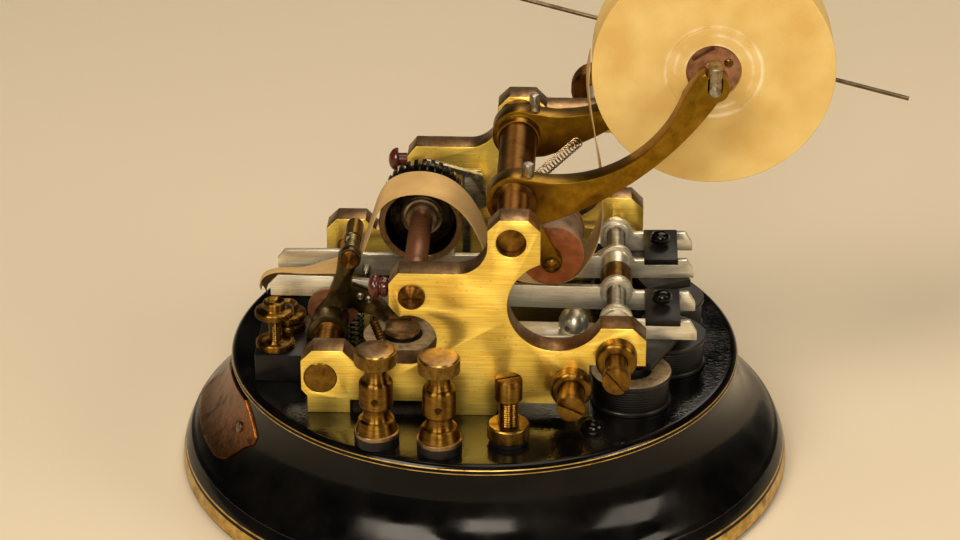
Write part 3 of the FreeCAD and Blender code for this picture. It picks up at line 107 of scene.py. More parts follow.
def finish(name, metallic=0.0, roughness=0.5, base="#808080", **extra):
    """A new material with its Principled shader: returns (material, tree, shader)."""
    made = bpy.data.materials.new(name)
    made.use_nodes = True
    shader = made.node_tree.nodes["Principled BSDF"]
    shader.inputs["Base Color"].default_value = colour(base)
    shader.inputs["Metallic"].default_value = metallic
    shader.inputs["Roughness"].default_value = roughness
    for key, setting in extra.items():
        shader.inputs[key.replace("_", " ")].default_value = setting
    return made, made.node_tree, shader


def per_mm(*sizes):
    """Mapping scale that makes a pattern repeat about every so many millimetres."""
    return [1 / (size * MM) for size in sizes]


def worked(name, tones, grain, roughness, metallic=1.0, cloud=9.0, speck=0.35, relief=0.02,
           stain_at=(0.5, 0.72), lathe_axis=None, **extra):
    """A worked surface: fine grain along one axis, cloudy staining and dark specks.

    tones are light, dark, stain and speck; grain is the grain's size along X, Y and Z;
    cloud is the size of a stain; roughness runs from clean to stained; lathe_axis is the
    axis that the tool marks of turned work run round."""
    light, dark, stain, spot = (colour(tone) for tone in tones)
    made, tree, shader = finish(name, metallic, roughness[0], tones[0], **extra)
    place = add(tree, "ShaderNodeTexCoord")
    fine = add(tree, "ShaderNodeMapping", {"Vector": place.outputs["Object"],
                                           "Scale": per_mm(*grain)})
    lines = add(tree, "ShaderNodeTexNoise", {"Vector": fine.outputs[0], "Scale": 1.0,
                                             "Detail": 4.0, "Roughness": 0.65})
    body = add(tree, "ShaderNodeValToRGB", {0: lines.outputs[0]})
    body.color_ramp.elements[0].position, body.color_ramp.elements[0].color = 0.36, dark
    body.color_ramp.elements[1].position, body.color_ramp.elements[1].color = 0.64, light
    patches = add(tree, "ShaderNodeTexNoise", {"Vector": place.outputs["Object"],
                                               "Scale": 1 / (cloud * MM), "Detail": 5.0,
                                               "Roughness": 0.6})
    tarnish = add(tree, "ShaderNodeMapRange", {0: patches.outputs[0], 1: stain_at[0],
                                               2: stain_at[1]}, interpolation_type="SMOOTHSTEP")
    aged = add(tree, "ShaderNodeMix", {0: tarnish.outputs[0], 6: body.outputs[0], 7: stain},
               data_type="RGBA")
    dots = add(tree, "ShaderNodeTexNoise", {"Vector": place.outputs["Object"],
                                            "Scale": 1 / (1.1 * MM), "Detail": 2.0})
    pits = add(tree, "ShaderNodeMapRange", {0: dots.outputs[0], 1: 0.66, 2: 0.74, 4: speck})
    final = add(tree, "ShaderNodeMix", {0: pits.outputs[0], 6: aged.outputs[2], 7: spot},
                data_type="RGBA")
    tree.links.new(final.outputs[2], shader.inputs["Base Color"])
    rough = add(tree, "ShaderNodeMapRange", {0: tarnish.outputs[0], 3: roughness[0],
                                             4: roughness[1]})
    tree.links.new(rough.outputs[0], shader.inputs["Roughness"])
    bump = add(tree, "ShaderNodeBump", {"Height": lines.outputs[0], "Strength": 0.5,
                                        "Distance": relief * MM})
    tree.links.new(bump.outputs[0], shader.inputs["Normal"])
    if lathe_axis:
        marks = add(tree, "ShaderNodeTangent", direction_type="RADIAL", axis=lathe_axis)
        tree.links.new(marks.outputs[0], shader.inputs["Tangent"])
        shader.inputs["Anisotropic Rotation"].default_value = 0.25
    return made


# Rolled brass, drawn sideways over emery: bright yellow with a horizontal grain.
BRASS_FACE = worked("emeried_brass", ("#FFE878", "#EDC046", "#C08A28", "#5E3A0C"),
                    (14, 0.3, 0.3), (0.32, 0.44), cloud=24, stain_at=(0.54, 0.85),
                    Anisotropic=0.8, Anisotropic_Rotation=0.25)
# The cut thickness of the same plate, never polished again: pinkish brown.
BRASS_EDGE = worked("tarnished_cut_brass", ("#B08E62", "#866642", "#6E4C2C", "#38240F"),
                    (3, 6, 3), (0.34, 0.5), cloud=6)
# Sand-cast gunmetal, lacquered once: dark golden brown with a soft shine.
BRONZE = worked("lacquered_gunmetal", ("#94701F", "#74540E", "#5E400C", "#2E1C08"),
                (5, 5, 5), (0.33, 0.5), cloud=10, relief=0.03)
# Turned brass handled for a century: olive brown, with the bright streak of fine tool marks.
AGED_TONES = ("#8A6828", "#624418", "#4C3416", "#2A1E0C")
AGED_UP = worked("handled_brass_upright", AGED_TONES, (5, 5, 0.5), (0.34, 0.44), cloud=7,
                 speck=0.2, relief=0.004, lathe_axis="Z", Anisotropic=0.95)
AGED = worked("handled_brass_level", AGED_TONES, (5, 0.5, 5), (0.3, 0.42), cloud=7,
              speck=0.2, relief=0.004, lathe_axis="Y", Anisotropic=0.9)
# Spindles and sleeves of dark turned brass: brown, with the same streak.
DARK_TURNED = worked("browned_turned_brass", ("#7A5426", "#5A3A16", "#422A12", "#1E1208"),
                     (5, 0.5, 5), (0.42, 0.52), cloud=8, speck=0.2, relief=0.004,
                     lathe_axis="Y", Anisotropic=0.95)
# The knobs and knurled rims that the grain of the skin has darkened.
KNURLED = worked("darkened_knurling", ("#907236", "#664C20", "#4A3618", "#221A0C"),
                 (2, 2, 2), (0.3, 0.46), cloud=4)
# Filed and draw-polished tool steel: grey with a warm cast and a faint grain.
STEEL = worked("draw_filed_steel", ("#F0EAD6", "#CCC4AA", "#A8997A", "#4A3E2A"),
               (9, 0.25, 0.25), (0.36, 0.5), metallic=0.85, cloud=12, stain_at=(0.56, 0.8),
               Anisotropic=0.6, Anisotropic_Rotation=0.25)
# Round steel ground in the lathe: brighter than the bars.
GROUND_STEEL = worked("ground_steel", ("#B4AE9A", "#807A68", "#6A5E4A", "#342C22"),
                      (5, 0.4, 5), (0.4, 0.5), cloud=8, relief=0.004, lathe_axis="Y",
                      Anisotropic=0.9)
# Drawn rod gone dull: grey brown.
DULL_ROD = worked("dull_drawn_rod", ("#7E6E56", "#5A4A38", "#46382A", "#2A2018"),
                  (5, 5, 5), (0.36, 0.5), cloud=8)
# Soft iron of the magnets, browned: nearly black with a dull glint.
IRON = worked("browned_iron", ("#181512", "#0E0C0B", "#1A1510", "#060505"),
              (2, 2, 2), (0.4, 0.58), metallic=0.15, cloud=5, Specular_IOR_Level=0.25)
# Blackened screws with a lustre left on their heads.
BLACK_SCREW = worked("blued_screw", ("#1A1816", "#100F0E", "#141210", "#060505"),
                     (3, 3, 3), (0.16, 0.26), metallic=0.7, cloud=4, speck=0.1)
# The type wheel and its ratchet, gone grey-brown and black from ink.
INKED_STEEL = worked("inked_steel", ("#403A2E", "#1E1B15", "#14110D", "#070605"),
                     (2.5, 2.5, 2.5), (0.28, 0.5), cloud=4, stain_at=(0.44, 0.6))
# The ratchet's detent and its plate: mid-grey steel, never polished.
GREY_STEEL = worked("unpolished_steel", ("#B4B09C", "#827E6C", "#5E5644", "#2A261C"),
                    (5, 0.4, 0.4), (0.36, 0.5), cloud=8)
# The worn hub in the middle of the inky dish.
WORN_HUB = worked("worn_hub", ("#A8987C", "#7C6E58", "#4E4234", "#1E1810"),
                  (2, 2, 2), (0.34, 0.5), cloud=3)
# Spindles of drawn copper alloy: dark red brown, waxy.
COPPER = worked("browned_copper", ("#84583A", "#664029", "#4A2E1C", "#22130A"),
                (4, 0.5, 4), (0.42, 0.56), metallic=0.6, cloud=6)
# Copper washers and the tops of the posts: pinkish and dull.
PINK_BRASS = worked("dezincified_brass", ("#A88A62", "#846644", "#665034", "#38281A"),
                    (2, 2, 2), (0.36, 0.52), cloud=4)
# The printing lever: malleable iron that has browned over its edges.
LEVER_BROWN = worked("browned_lever", ("#665A3A", "#443A24", "#322A1A", "#16120A"),
                     (3, 3, 3), (0.3, 0.46), cloud=6)
# Old leaf and size, rubbed thin in places so that the black shows.
GILT = worked("rubbed_gilding", ("#CFAE60", "#A5823C", "#7E6228", "#241A0C"),
              (6, 6, 6), (0.36, 0.5), metallic=0.8, cloud=7, speck=0.7)
# Cast and darkened brass of the badge, bare, with a stippled ground.
BADGE = worked("stippled_cast_brass", ("#8A5620", "#5E3610", "#40240C", "#1C1006"),
               (1.5, 1.5, 1.5), (0.36, 0.5), cloud=6, relief=0.5)
# Stained and polished knobs, red brown and glossy.
KNOB = worked("stained_knob", ("#542418", "#3A1810", "#2A100C", "#120806"),
              (4, 0.8, 0.8), (0.18, 0.3), metallic=0.0, cloud=5, speck=0.15)
# Vulcanised fibre, turned on the roller's face: red brown, waxy.
FIBRE = worked("vulcanised_fibre", ("#96562E", "#7E4220", "#6A3418", "#3C1E0E"),
               (3, 3, 3), (0.3, 0.42), metallic=0.0, cloud=14, speck=0.1)
# The roller's tread, grey-tan from paper dust.
TREAD = worked("dusty_tread", ("#A28A68", "#836B4C", "#6E583C", "#40301E"),
               (3, 0.6, 3), (0.55, 0.7), metallic=0.0, cloud=5)
# Hard rubber: black gone faintly green-brown in the light.
EBONITE = worked("hard_rubber", ("#121110", "#090808", "#161412", "#040404"),
                 (3, 3, 3), (0.34, 0.5), metallic=0.0, cloud=8, Specular_IOR_Level=0.25)
# Pressed core with a waxed red-brown face.
CORE = worked("waxed_core", ("#9A6C46", "#7A4E32", "#664028", "#2E1C10"),
              (2.5, 2.5, 2.5), (0.4, 0.55), metallic=0.0, cloud=6)
# Varnished cheeks of the coils, olive grey: painted light, used on the upper faces that the light
# falls on.
CHEEK_PAINTED_LIT = worked("cheek_painted_lit", ("#A8946E", "#7E6C50", "#5E4E3A", "#2E261A"),
               (2, 2, 2), (0.3, 0.46), metallic=0.35, cloud=5)
# The same cheeks in painted shade, nearly black and matt: on the rims and on the outer coils.
CHEEK_PAINTED_SHADE = worked("cheek_painted_shade", ("#1C1814", "#100D0B", "#1A1612", "#070605"),
                    (2, 2, 2), (0.34, 0.5), metallic=0.0, cloud=5, Specular_IOR_Level=0.3)


def japanned(name, gloss, crackle, level):
    """Stoved black japan on cast iron: deep gloss over a net of fine age cracks.
    gloss runs from the shiny to the hazy patches, crackle is the cracks' depth in mm."""
    made, tree, shader = finish(name, 0.0, 0.2, "#070706", Specular_IOR_Level=level)
    place = add(tree, "ShaderNodeTexCoord")
    crack = add(tree, "ShaderNodeTexVoronoi", {"Vector": place.outputs["Object"],
                                               "Scale": 1 / (2.1 * MM)},
                feature="DISTANCE_TO_EDGE")
    edge = add(tree, "ShaderNodeMapRange", {0: crack.outputs[0], 1: 0.0, 2: 0.24})
    haze = add(tree, "ShaderNodeTexNoise", {"Vector": place.outputs["Object"],
                                            "Scale": 1 / (16 * MM), "Detail": 6.0})
    tone = add(tree, "ShaderNodeValToRGB", {0: haze.outputs[0]})
    tone.color_ramp.elements[0].position, tone.color_ramp.elements[0].color = 0.4, colour("#050505")
    tone.color_ramp.elements[1].position, tone.color_ramp.elements[1].color = 0.7, colour("#0E0C0A")
    tree.links.new(tone.outputs[0], shader.inputs["Base Color"])
    rough = add(tree, "ShaderNodeMapRange", {0: haze.outputs[0], 1: 0.35, 2: 0.7, 3: gloss[0],
                                             4: gloss[1]})
    tree.links.new(rough.outputs[0], shader.inputs["Roughness"])
    bump = add(tree, "ShaderNodeBump", {"Height": edge.outputs[0], "Strength": 1.0,
                                        "Distance": crackle * MM})
    tree.links.new(bump.outputs[0], shader.inputs["Normal"])
    return made


def wound():
    """Silk-covered wire in shellac: glossy black with the turns lying side by side.
    The wire is 0.5 mm; the turns are drawn at 0.9 mm so that they show."""
    made, tree, shader = finish("shellacked_winding", 0.0, 0.34, "#0B0A09",
                                Specular_IOR_Level=0.35)
    place = add(tree, "ShaderNodeTexCoord")
    turns = add(tree, "ShaderNodeTexWave", {"Vector": place.outputs["Object"],
                                            "Scale": 1 / (0.9 * MM) / 20 * TURN,
                                            "Distortion": 0.4, "Detail": 1.0},
                bands_direction="Z")
    tone = add(tree, "ShaderNodeValToRGB", {0: turns.outputs[0]})
    tone.color_ramp.elements[0].color = colour("#040404")
    tone.color_ramp.elements[1].color = colour("#12100E")
    tree.links.new(tone.outputs[0], shader.inputs["Base Color"])
    bump = add(tree, "ShaderNodeBump", {"Height": turns.outputs[0], "Strength": 0.8,
                                        "Distance": 0.12 * MM})
    tree.links.new(bump.outputs[0], shader.inputs["Normal"])
    return made


def paper(name, light, dark, centre=None):
    """Rag paper gone buff; on the roll the edges of its turns show as fine rings, beside pale
    scuffed rings and a painted highlight round the core's edge.
    A turn is 0.1 mm thick; the rings are drawn every 0.8 mm so that they show."""
    made, tree, shader = finish(name, 0.0, 0.82, light)
    place = add(tree, "ShaderNodeTexCoord")
    haze = add(tree, "ShaderNodeTexNoise", {"Vector": place.outputs["Object"],
                                            "Scale": 1 / (14 * MM), "Detail": 5.0})
    tone = add(tree, "ShaderNodeValToRGB", {0: haze.outputs[0]})
    tone.color_ramp.elements[0].position, tone.color_ramp.elements[0].color = 0.35, colour(dark)
    tone.color_ramp.elements[1].position, tone.color_ramp.elements[1].color = 0.68, colour(light)
    coat = tone.outputs[0]
    if centre:
        middle = add(tree, "ShaderNodeMapping", {
            "Vector": place.outputs["Object"],
            "Scale": (1, 0, 1), "Location": (-centre[0] * MM, 0, -centre[1] * MM)})
        turns = add(tree, "ShaderNodeTexWave", {"Vector": middle.outputs[0],
                                                "Scale": 1 / (TAPE_TURN * MM) / 20 * TURN,
                                                "Distortion": 0.5, "Detail": 2.0},
                    wave_type="RINGS", rings_direction="Y")
        mixed = add(tree, "ShaderNodeMix", {0: 0.05, 6: tone.outputs[0], 7: turns.outputs[1]},
                    data_type="RGBA", blend_type="MULTIPLY")
        reach = add(tree, "ShaderNodeVectorMath", {0: middle.outputs[0]}, operation="LENGTH")
        share = add(tree, "ShaderNodeMapRange", {0: reach.outputs["Value"],
                                                  2: ROLL_RADIUS * MM})
        # Pale rings over the roll's face: the first, at the core's edge, is a painted highlight for
        # light on the roll's inner edge; the rest are scuffs.
        scuffs_and_edge_highlight = add(tree, "ShaderNodeValToRGB", {0: share.outputs[0]})
        for place_at, grey in ((0.236, 0.9), (0.25, 0.1), (0.3, 0.05), (0.32, 0.7), (0.34, 0.1),
                               (0.37, 0.05), (0.395, 0.7), (0.42, 0.0)):
            mark = scuffs_and_edge_highlight.color_ramp.elements.new(place_at)
            mark.color = (grey, grey, grey, 1)
        scuffs_and_edge_highlight.color_ramp.elements[-1].color = (0, 0, 0, 1)
        chance = add(tree, "ShaderNodeMapRange", {0: haze.outputs[0], 1: 0.44, 2: 0.62})
        # worn holds the scuffs and the painted edge highlight, broken up by the noise; rubbed mixes
        # both towards pale cream.
        worn = add(tree, "ShaderNodeMath", {0: scuffs_and_edge_highlight.outputs[0], 1: chance.outputs[0]},
                   operation="MULTIPLY")
        rubbed = add(tree, "ShaderNodeMix", {0: worn.outputs[0], 6: mixed.outputs[2],
                                             7: colour("#F6E8CC")}, data_type="RGBA")
        coat = rubbed.outputs[2]
        bump = add(tree, "ShaderNodeBump", {"Height": turns.outputs[0], "Strength": 0.25,
                                            "Distance": 0.06 * MM})
        tree.links.new(bump.outputs[0], shader.inputs["Normal"])
    tree.links.new(coat, shader.inputs["Base Color"])
    return made


JAPAN = japanned("black_japan", (0.08, 0.26), 0.002, 0.15)
DECK_JAPAN = japanned("crackled_black_japan", (0.1, 0.26), 0.018, 0.18)
WINDING = wound()
ROLL_PAPER = paper("rolled_paper", "#D6BA72", "#C8A45A", (REEL_X, REEL_Z))
TAPE_PAPER = paper("tape_paper", "#C4A066", "#AA8850")
# Spring wire blackened by heat: dark green-grey with a low shine.
BLACK_WIRE = worked("blackened_spring_wire", ("#2E322A", "#161A16", "#221C16", "#080706"),
                    (1, 1, 1), (0.26, 0.4), metallic=0.7, cloud=3)
# Bright drawn brass spring wire, gone a little brown.
PALE_WIRE = worked("drawn_spring_wire", ("#C8B48C", "#9A8662", "#6E5C40", "#2E2416"),
                   (1, 1, 1), (0.24, 0.4), cloud=3)
FINISH_OF_SLOT = {
    "japan": JAPAN, "floor_paint": EBONITE, "badge_brass": BADGE, "plate_brass": BRASS_FACE,
    "arm_bronze": BRONZE, "aged_brass": AGED, "shaft_copper": COPPER,
    "bright_steel": STEEL, "dark_iron": IRON, "coil_black": WINDING, "ebonite": EBONITE,
    "knob_brown": KNOB, "fibre_red": FIBRE, "core_wood": CORE, "paper_buff": TAPE_PAPER,
}


# ------------------------------------------------------------------ bench tools
def pick(obj):
    """Make one piece the only selected and active one."""
    bpy.ops.object.select_all(action="DESELECT")
    obj.select_set(True)
    bpy.context.view_layer.objects.active = obj


AIM = {"up": (0, 0, 0), "front": (90, 0, 0), "back": (-90, 0, 0), "left": (0, -90, 0),
       "right": (0, 90, 0)}


def settle(obj, at, aim="up", roll=0):
    """Turn a piece from its own axis into place and fix the place in its mesh."""
    pick(obj)
    if isinstance(aim, str):
        turn = Euler([math.radians(a) for a in AIM[aim]]).to_quaternion()
    else:
        turn = Vector(aim).to_track_quat("Z", "Y")
    spun = Euler((0, 0, math.radians(roll))).to_quaternion()
    obj.location = Vector(at) * MM
    obj.rotation_euler = (turn @ spun).to_euler()
    bpy.ops.object.transform_apply(location=True, rotation=True, scale=True)


def apply(obj, kind, **settings):
    """Put one modifier on a piece and make it part of the mesh."""
    pick(obj)
    changer = obj.modifiers.new(kind.lower(), kind)
    for key, setting in settings.items():
        setattr(changer, key, setting)
    bpy.ops.object.modifier_apply(modifier=changer.name)


def break_edges(obj, width, sharp=SMOOTH_UNDER):
    """Round the sharp edges, as a file and emery leave them, and shade the rest smooth."""
    if width:
        apply(obj, "BEVEL", width=width * MM, segments=2, limit_method="ANGLE",
              angle_limit=math.radians(sharp), use_clamp_overlap=False)
    pick(obj)
    bpy.ops.object.shade_smooth_by_angle(angle=math.radians(sharp))


def turned(name, profile, steps=72):
    """Lathe work: a chain of (radius, height) points spun about the piece's own axis."""
    bpy.ops.object.select_all(action="DESELECT")
    bpy.ops.mesh.primitive_plane_add(size=MM, location=(0, 0, 0))
    obj = bpy.context.object
    obj.name = name
    bpy.ops.object.mode_set(mode="EDIT")
    bpy.ops.mesh.select_mode(type="VERT")
    bpy.ops.mesh.select_all(action="SELECT")
    bpy.ops.mesh.merge(type="CENTER")
    radius, height = profile[0]
    bpy.ops.transform.translate(value=(radius * MM, 0, height * MM))
    for (r0, h0), (r1, h1) in zip(profile, profile[1:]):
        bpy.ops.mesh.extrude_region_move(
            TRANSFORM_OT_translate={"value": ((r1 - r0) * MM, 0, (h1 - h0) * MM)})
    bpy.ops.mesh.select_all(action="SELECT")
    bpy.ops.mesh.spin(steps=steps, angle=TURN, center=(0, 0, 0), axis=(0, 0, 1))
    bpy.ops.mesh.select_all(action="SELECT")
    bpy.ops.mesh.remove_doubles(threshold=0.002 * MM)
    bpy.ops.mesh.normals_make_consistent(inside=False)
    bpy.ops.object.mode_set(mode="OBJECT")
    return obj


def cube(name, size):
    """A block of this size about the origin, ready to be shaped."""
    bpy.ops.object.select_all(action="DESELECT")
    bpy.ops.mesh.primitive_cube_add(size=1)
    obj = bpy.context.object
    obj.name = name
    obj.scale = Vector(size) * MM
    bpy.ops.object.transform_apply(location=False, rotation=False, scale=True)
    return obj


def choose(obj, rule):
    """Enter edit mode with the faces selected whose centre (mm) and normal pass the rule."""
    pick(obj)
    bpy.ops.object.mode_set(mode="EDIT")
    bpy.ops.mesh.select_mode(type="FACE")
    bpy.ops.mesh.select_all(action="DESELECT")
    bpy.ops.object.mode_set(mode="OBJECT")
    for face in obj.data.polygons:
        face.select = bool(rule(face.center / MM, face.normal))
    bpy.ops.object.mode_set(mode="EDIT")


def knurl(obj, band, steps, pitch=2, raised=0.2, margin=0.1):
    """Raise every pitch-th face of the rim; each row of the band starts one face on, so
    that the ridges lean.  band is least radius, low, high and number of rows."""
    least, low, high, rows = band

    def rule(centre, normal):
        if math.hypot(centre.x, centre.y) < least or not low < centre.z < high:
            return False
        column = round(math.atan2(centre.y, centre.x) / TURN * steps - 0.5)
        row = int((centre.z - low) / (high - low) * rows)
        return abs(normal.z) < 0.3 and (column + row) % pitch == 0
    choose(obj, rule)
    bpy.ops.mesh.inset(thickness=margin * MM, depth=raised * MM, use_individual=True)
    bpy.ops.object.mode_set(mode="OBJECT")


def rows(low, high, count):
    """Heights that divide a rim into equal rows."""
    return [low + (high - low) * i / count for i in range(count + 1)]


def cut(obj, size, at, turn=0, round_tool=False):
    """Mill a slot, or drill a hole along Y, through a piece that still stands on its axis."""
    bpy.ops.object.select_all(action="DESELECT")
    if round_tool:
        bpy.ops.mesh.primitive_cylinder_add(vertices=32, radius=size[0] * MM,
                                            depth=size[1] * MM,
                                            rotation=(math.pi / 2, 0, 0))
    else:
        bpy.ops.mesh.primitive_cube_add(size=1)
    tool = bpy.context.object
    if not round_tool:
        tool.scale = Vector(size) * MM
    tool.location = Vector(at) * MM
    tool.rotation_euler.z = math.radians(turn)
    bpy.ops.object.transform_apply(location=True, rotation=True, scale=True)
    apply(obj, "BOOLEAN", operation="DIFFERENCE", solver="EXACT", object=tool)
    bpy.data.objects.remove(tool)


def dress(obj, finishes, body, nodes=(), rule=None):
    """Give a piece its finishes, its body and the nodes it stands for."""
    if not isinstance(finishes, (list, tuple)):
        finishes = [finishes]
    obj.data.materials.clear()
    for made in finishes:
        obj.data.materials.append(made)
    for face in obj.data.polygons:
        face.material_index = rule(face.center / MM, face.normal) if rule else 0
    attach(obj, body)
    if nodes:
        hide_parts(*nodes)
    return obj


def softened(node, width=0.2, finishes=None, rule=None, sharp=SMOOTH_UNDER, shape=None):
    """The node's own form with its edges broken."""
    copy = bpy.data.objects.new(node + "_dressed", NODES[node].data.copy())
    bpy.context.scene.collection.objects.link(copy)
    pick(copy)
    bpy.ops.mesh.customdata_custom_splitnormals_clear()
    bpy.ops.object.mode_set(mode="EDIT")
    bpy.ops.mesh.select_all(action="SELECT")
    bpy.ops.mesh.remove_doubles(threshold=0.004 * MM)
    bpy.ops.mesh.dissolve_limited(angle_limit=math.radians(0.6))
    bpy.ops.object.mode_set(mode="OBJECT")
    if shape:
        shape(copy)
    break_edges(copy, width, sharp)
    made = finishes or FINISH_OF_SLOT[SLOT_OF[node]]
    return dress(copy, made, BODY_OF[node], [node], rule)


def lathe(node, profile, at, aim, finishes=None, rule=None, steps=72, width=0.2, work=None,
          roll=0, label=None):
    """A turned piece that stands for a node, with its edges broken."""
    obj = turned(label or node + "_turned", profile, steps)
    break_edges(obj, width)
    if work:
        work(obj)
        pick(obj)
        bpy.ops.object.shade_smooth_by_angle(angle=math.radians(SMOOTH_UNDER))
    made = finishes or FINISH_OF_SLOT[SLOT_OF[node]]
    for finish_of in made if isinstance(made, (list, tuple)) else [made]:
        obj.data.materials.append(finish_of)
    if rule:
        for face in obj.data.polygons:
            face.material_index = rule(math.hypot(face.center.x, face.center.y) / MM,
                                       face.center.z / MM, face.normal)
    settle(obj, at, aim, roll)
    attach(obj, BODY_OF[node])
    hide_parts(node)
    return obj


def screw(name, at, aim, radius, height, body, made, roll=0, domed=0.3,
          slot_width=0.22):
    """A small slotted screw head, domed by a share of its height."""
    side = height * (1 - domed)
    obj = turned(name, [(0, -0.4), (radius, -0.4), (radius, side),
                        (radius * 0.86, side + (height - side) * 0.55),
                        (radius * 0.5, height * 0.97), (0, height)], 36)
    break_edges(obj, min(0.12, radius * 0.06))
    cut(obj, (radius * 2.6, radius * slot_width, height * 0.8), (0, 0, height))
    settle(obj, at, aim, roll)
    pick(obj)
    bpy.ops.object.shade_smooth_by_angle(angle=math.radians(SMOOTH_UNDER))
    return dress(obj, made, body)


def spring(name, start, end, radius, wire, turns, body, made):
    """Round wire wound in a helix from one point to another."""
    bpy.ops.object.select_all(action="DESELECT")
    bpy.ops.mesh.primitive_circle_add(vertices=10, radius=wire * MM, fill_type="NOTHING",
                                      rotation=(math.pi / 2, 0, 0),
                                      location=(radius * MM, 0, 0))
    obj = bpy.context.object
    obj.name = name
    bpy.ops.object.transform_apply(location=True, rotation=True, scale=True)
    reach = (Vector(end) - Vector(start)).length
    apply(obj, "SCREW", axis="Z", angle=TURN, screw_offset=reach / turns * MM,
          iterations=turns, steps=24, render_steps=24, use_merge_vertices=True)
    pick(obj)
    bpy.ops.object.mode_set(mode="EDIT")
    bpy.ops.mesh.select_all(action="DESELECT")
    bpy.ops.mesh.select_mode(type="EDGE")
    bpy.ops.mesh.select_non_manifold()
    bpy.ops.mesh.fill_holes(sides=0)
    bpy.ops.mesh.select_all(action="SELECT")
    bpy.ops.mesh.normals_make_consistent(inside=False)
    bpy.ops.object.mode_set(mode="OBJECT")
    settle(obj, start, Vector(end) - Vector(start))
    pick(obj)
    bpy.ops.object.shade_smooth()
    return dress(obj, made, body)


def seat(obj, at, aim, made, body, width=0):
    """Put a finished fitting in its place, smooth it and dress it."""
    settle(obj, at, aim)
    break_edges(obj, width)
    return dress(obj, made, body)


# ------------------------------------------------------------------ base
# Radii of the deck, its rounded rim and the neck; the hollow's and the swelling's arcs; then
# the heights where the gilding starts and stops.
DECK_RADIUS, RIM_ROUND, NECK = 87.2, 2.8, 90.0
COVE, COVE_X, COVE_Z = 26.0, 116, 38
SWELL, SWELL_X, SWELL_Z = 19.113, 89.487, 1.5
BAND_LOW, BAND_HIGH, LINE_LOW, LINE_HIGH = 1.7, 6.5, 7.6, 8.2
RIM_LINES = ((41.0, 41.35), (42.3, 42.65))


def swell_radius(height):
    """The skirt's radius at a height on its swelling lower part."""
    return SWELL_X + math.sqrt(SWELL ** 2 - (height - SWELL_Z) ** 2)


def base_profile():
    """The casting's section: deck, rim, hollow neck, swelling skirt with its bead, inside."""
    rim = [(DECK_RADIUS + RIM_ROUND * math.sqrt(1 - ((z - 41.2) / RIM_ROUND) ** 2), z)
           for z in (43.97, 43.8, 43.4, 42.65, 42.48, 42.3, 41.8, 41.35)]
    cove = [(COVE_X + COVE * math.cos(math.radians(a)),
             COVE_Z + COVE * math.sin(math.radians(a)))
            for a in (180, 184, 188, 193, 198, 204, 210, 216, 222, 228, 234)]
    swell = [(swell_radius(z), z) for z in (15.6, 14.2, 13.2)]
    bead = [(swell_radius(12.9) + 0.35, 12.9), (swell_radius(12.4) + 0.35, 12.4)]
    lower = [(swell_radius(z), z) for z in (12.0, 10.6, 9.3, LINE_HIGH, LINE_LOW, 7.0,
                                            BAND_HIGH, 5.2, 4.0, 2.8, BAND_LOW, 1.5)]
    return ([(radius, DECK) for radius in (0, 30, 60, 82, DECK_RADIUS)] + rim
            + [(NECK, 41.0), (NECK, 39.4)] + cove + swell + bead + lower
            + [(107.4, 0.7), (107.4, 0), (102.9, 0), (102.9, 3.6), (85.5, 25), (85.5, 39.5),
               (0, 39.5)])


def gilded(radius, height, normal):
    """2 on the crackled deck, 1 on the gilt band and lines, 0 on the black."""
    if height > 43.9 and radius < DECK_RADIUS:
        return 2
    outside = radius > 89 and normal.z > -0.9
    in_band = radius > 105 and (BAND_LOW < height < BAND_HIGH or LINE_LOW < height < LINE_HIGH)
    in_line = any(low - 0.02 < height < high + 0.02 for low, high in RIM_LINES)
    return int(outside and (in_band or (in_line and radius < 90.5)))


lathe("base_casting", base_profile(), (0, 0, 0), "up", [JAPAN, GILT, DECK_JAPAN], gilded,
      steps=180, width=0)
softened("badge_plate", 0.18)
softened("base_floor_plate", 0.2)


# ------------------------------------------------------------------ plates
def face_or_edge(centre, normal):
    """0 on the broad faces of a plate, 1 on its cut thickness."""
    return 0 if abs(normal.y) > 0.8 else 1


for node in ("front_plate", "back_plate"):
    softened(node, 0.3, [BRASS_FACE, BRASS_EDGE], face_or_edge)

# ------------------------------------------------------------------ reel
for node in ("front_reel_arm", "back_reel_arm"):
    softened(node, 0.45)
softened("reel_crossbar", 0.15, DARK_TURNED)
# Turned discs close the ends of the crossbar and of the left shaft in the front plate.
for name, radius, at in (("bar", 4.9, (BAR_X, -51.3, BAR_Z)),
                         ("left", 5.5, (LEFT_X, -55.0, LEFT_Z))):
    disc = turned(name + "_end_disc", [(0, -0.4), (radius, -0.4), (radius, 0),
                                       (radius - 0.2, 0.15), (0, 0.2)], 64)
    seat(disc, at, "front", AGED, "frame")
softened("reel_axle", 0.25, GROUND_STEEL)
softened("reel_guard_rod", 0.1, DULL_ROD)
lathe("paper_roll", [(9.4, 0), (12, 0), (15.4, 0), (15.5, 0.12), (15.7, 0.12), (15.8, 0),
                     (24, 0), (33, 0), (40.8, 0), (41, 0.2), (41, 6), (41, 12.5), (41, 18.8),
                     (40.8, 19), (25, 19), (9.4, 19), (9.4, 9), (9.4, 0)],
      (REEL_X, ROLL_FRONT, REEL_Z), "back", ROLL_PAPER, steps=144, width=0)


def key_slot(obj):
    """The slanting slot in the core's face that a reel key enters."""
    cut(obj, (8.5, 1.5, 5), (-3.7, -5.7, 2.0), -33)


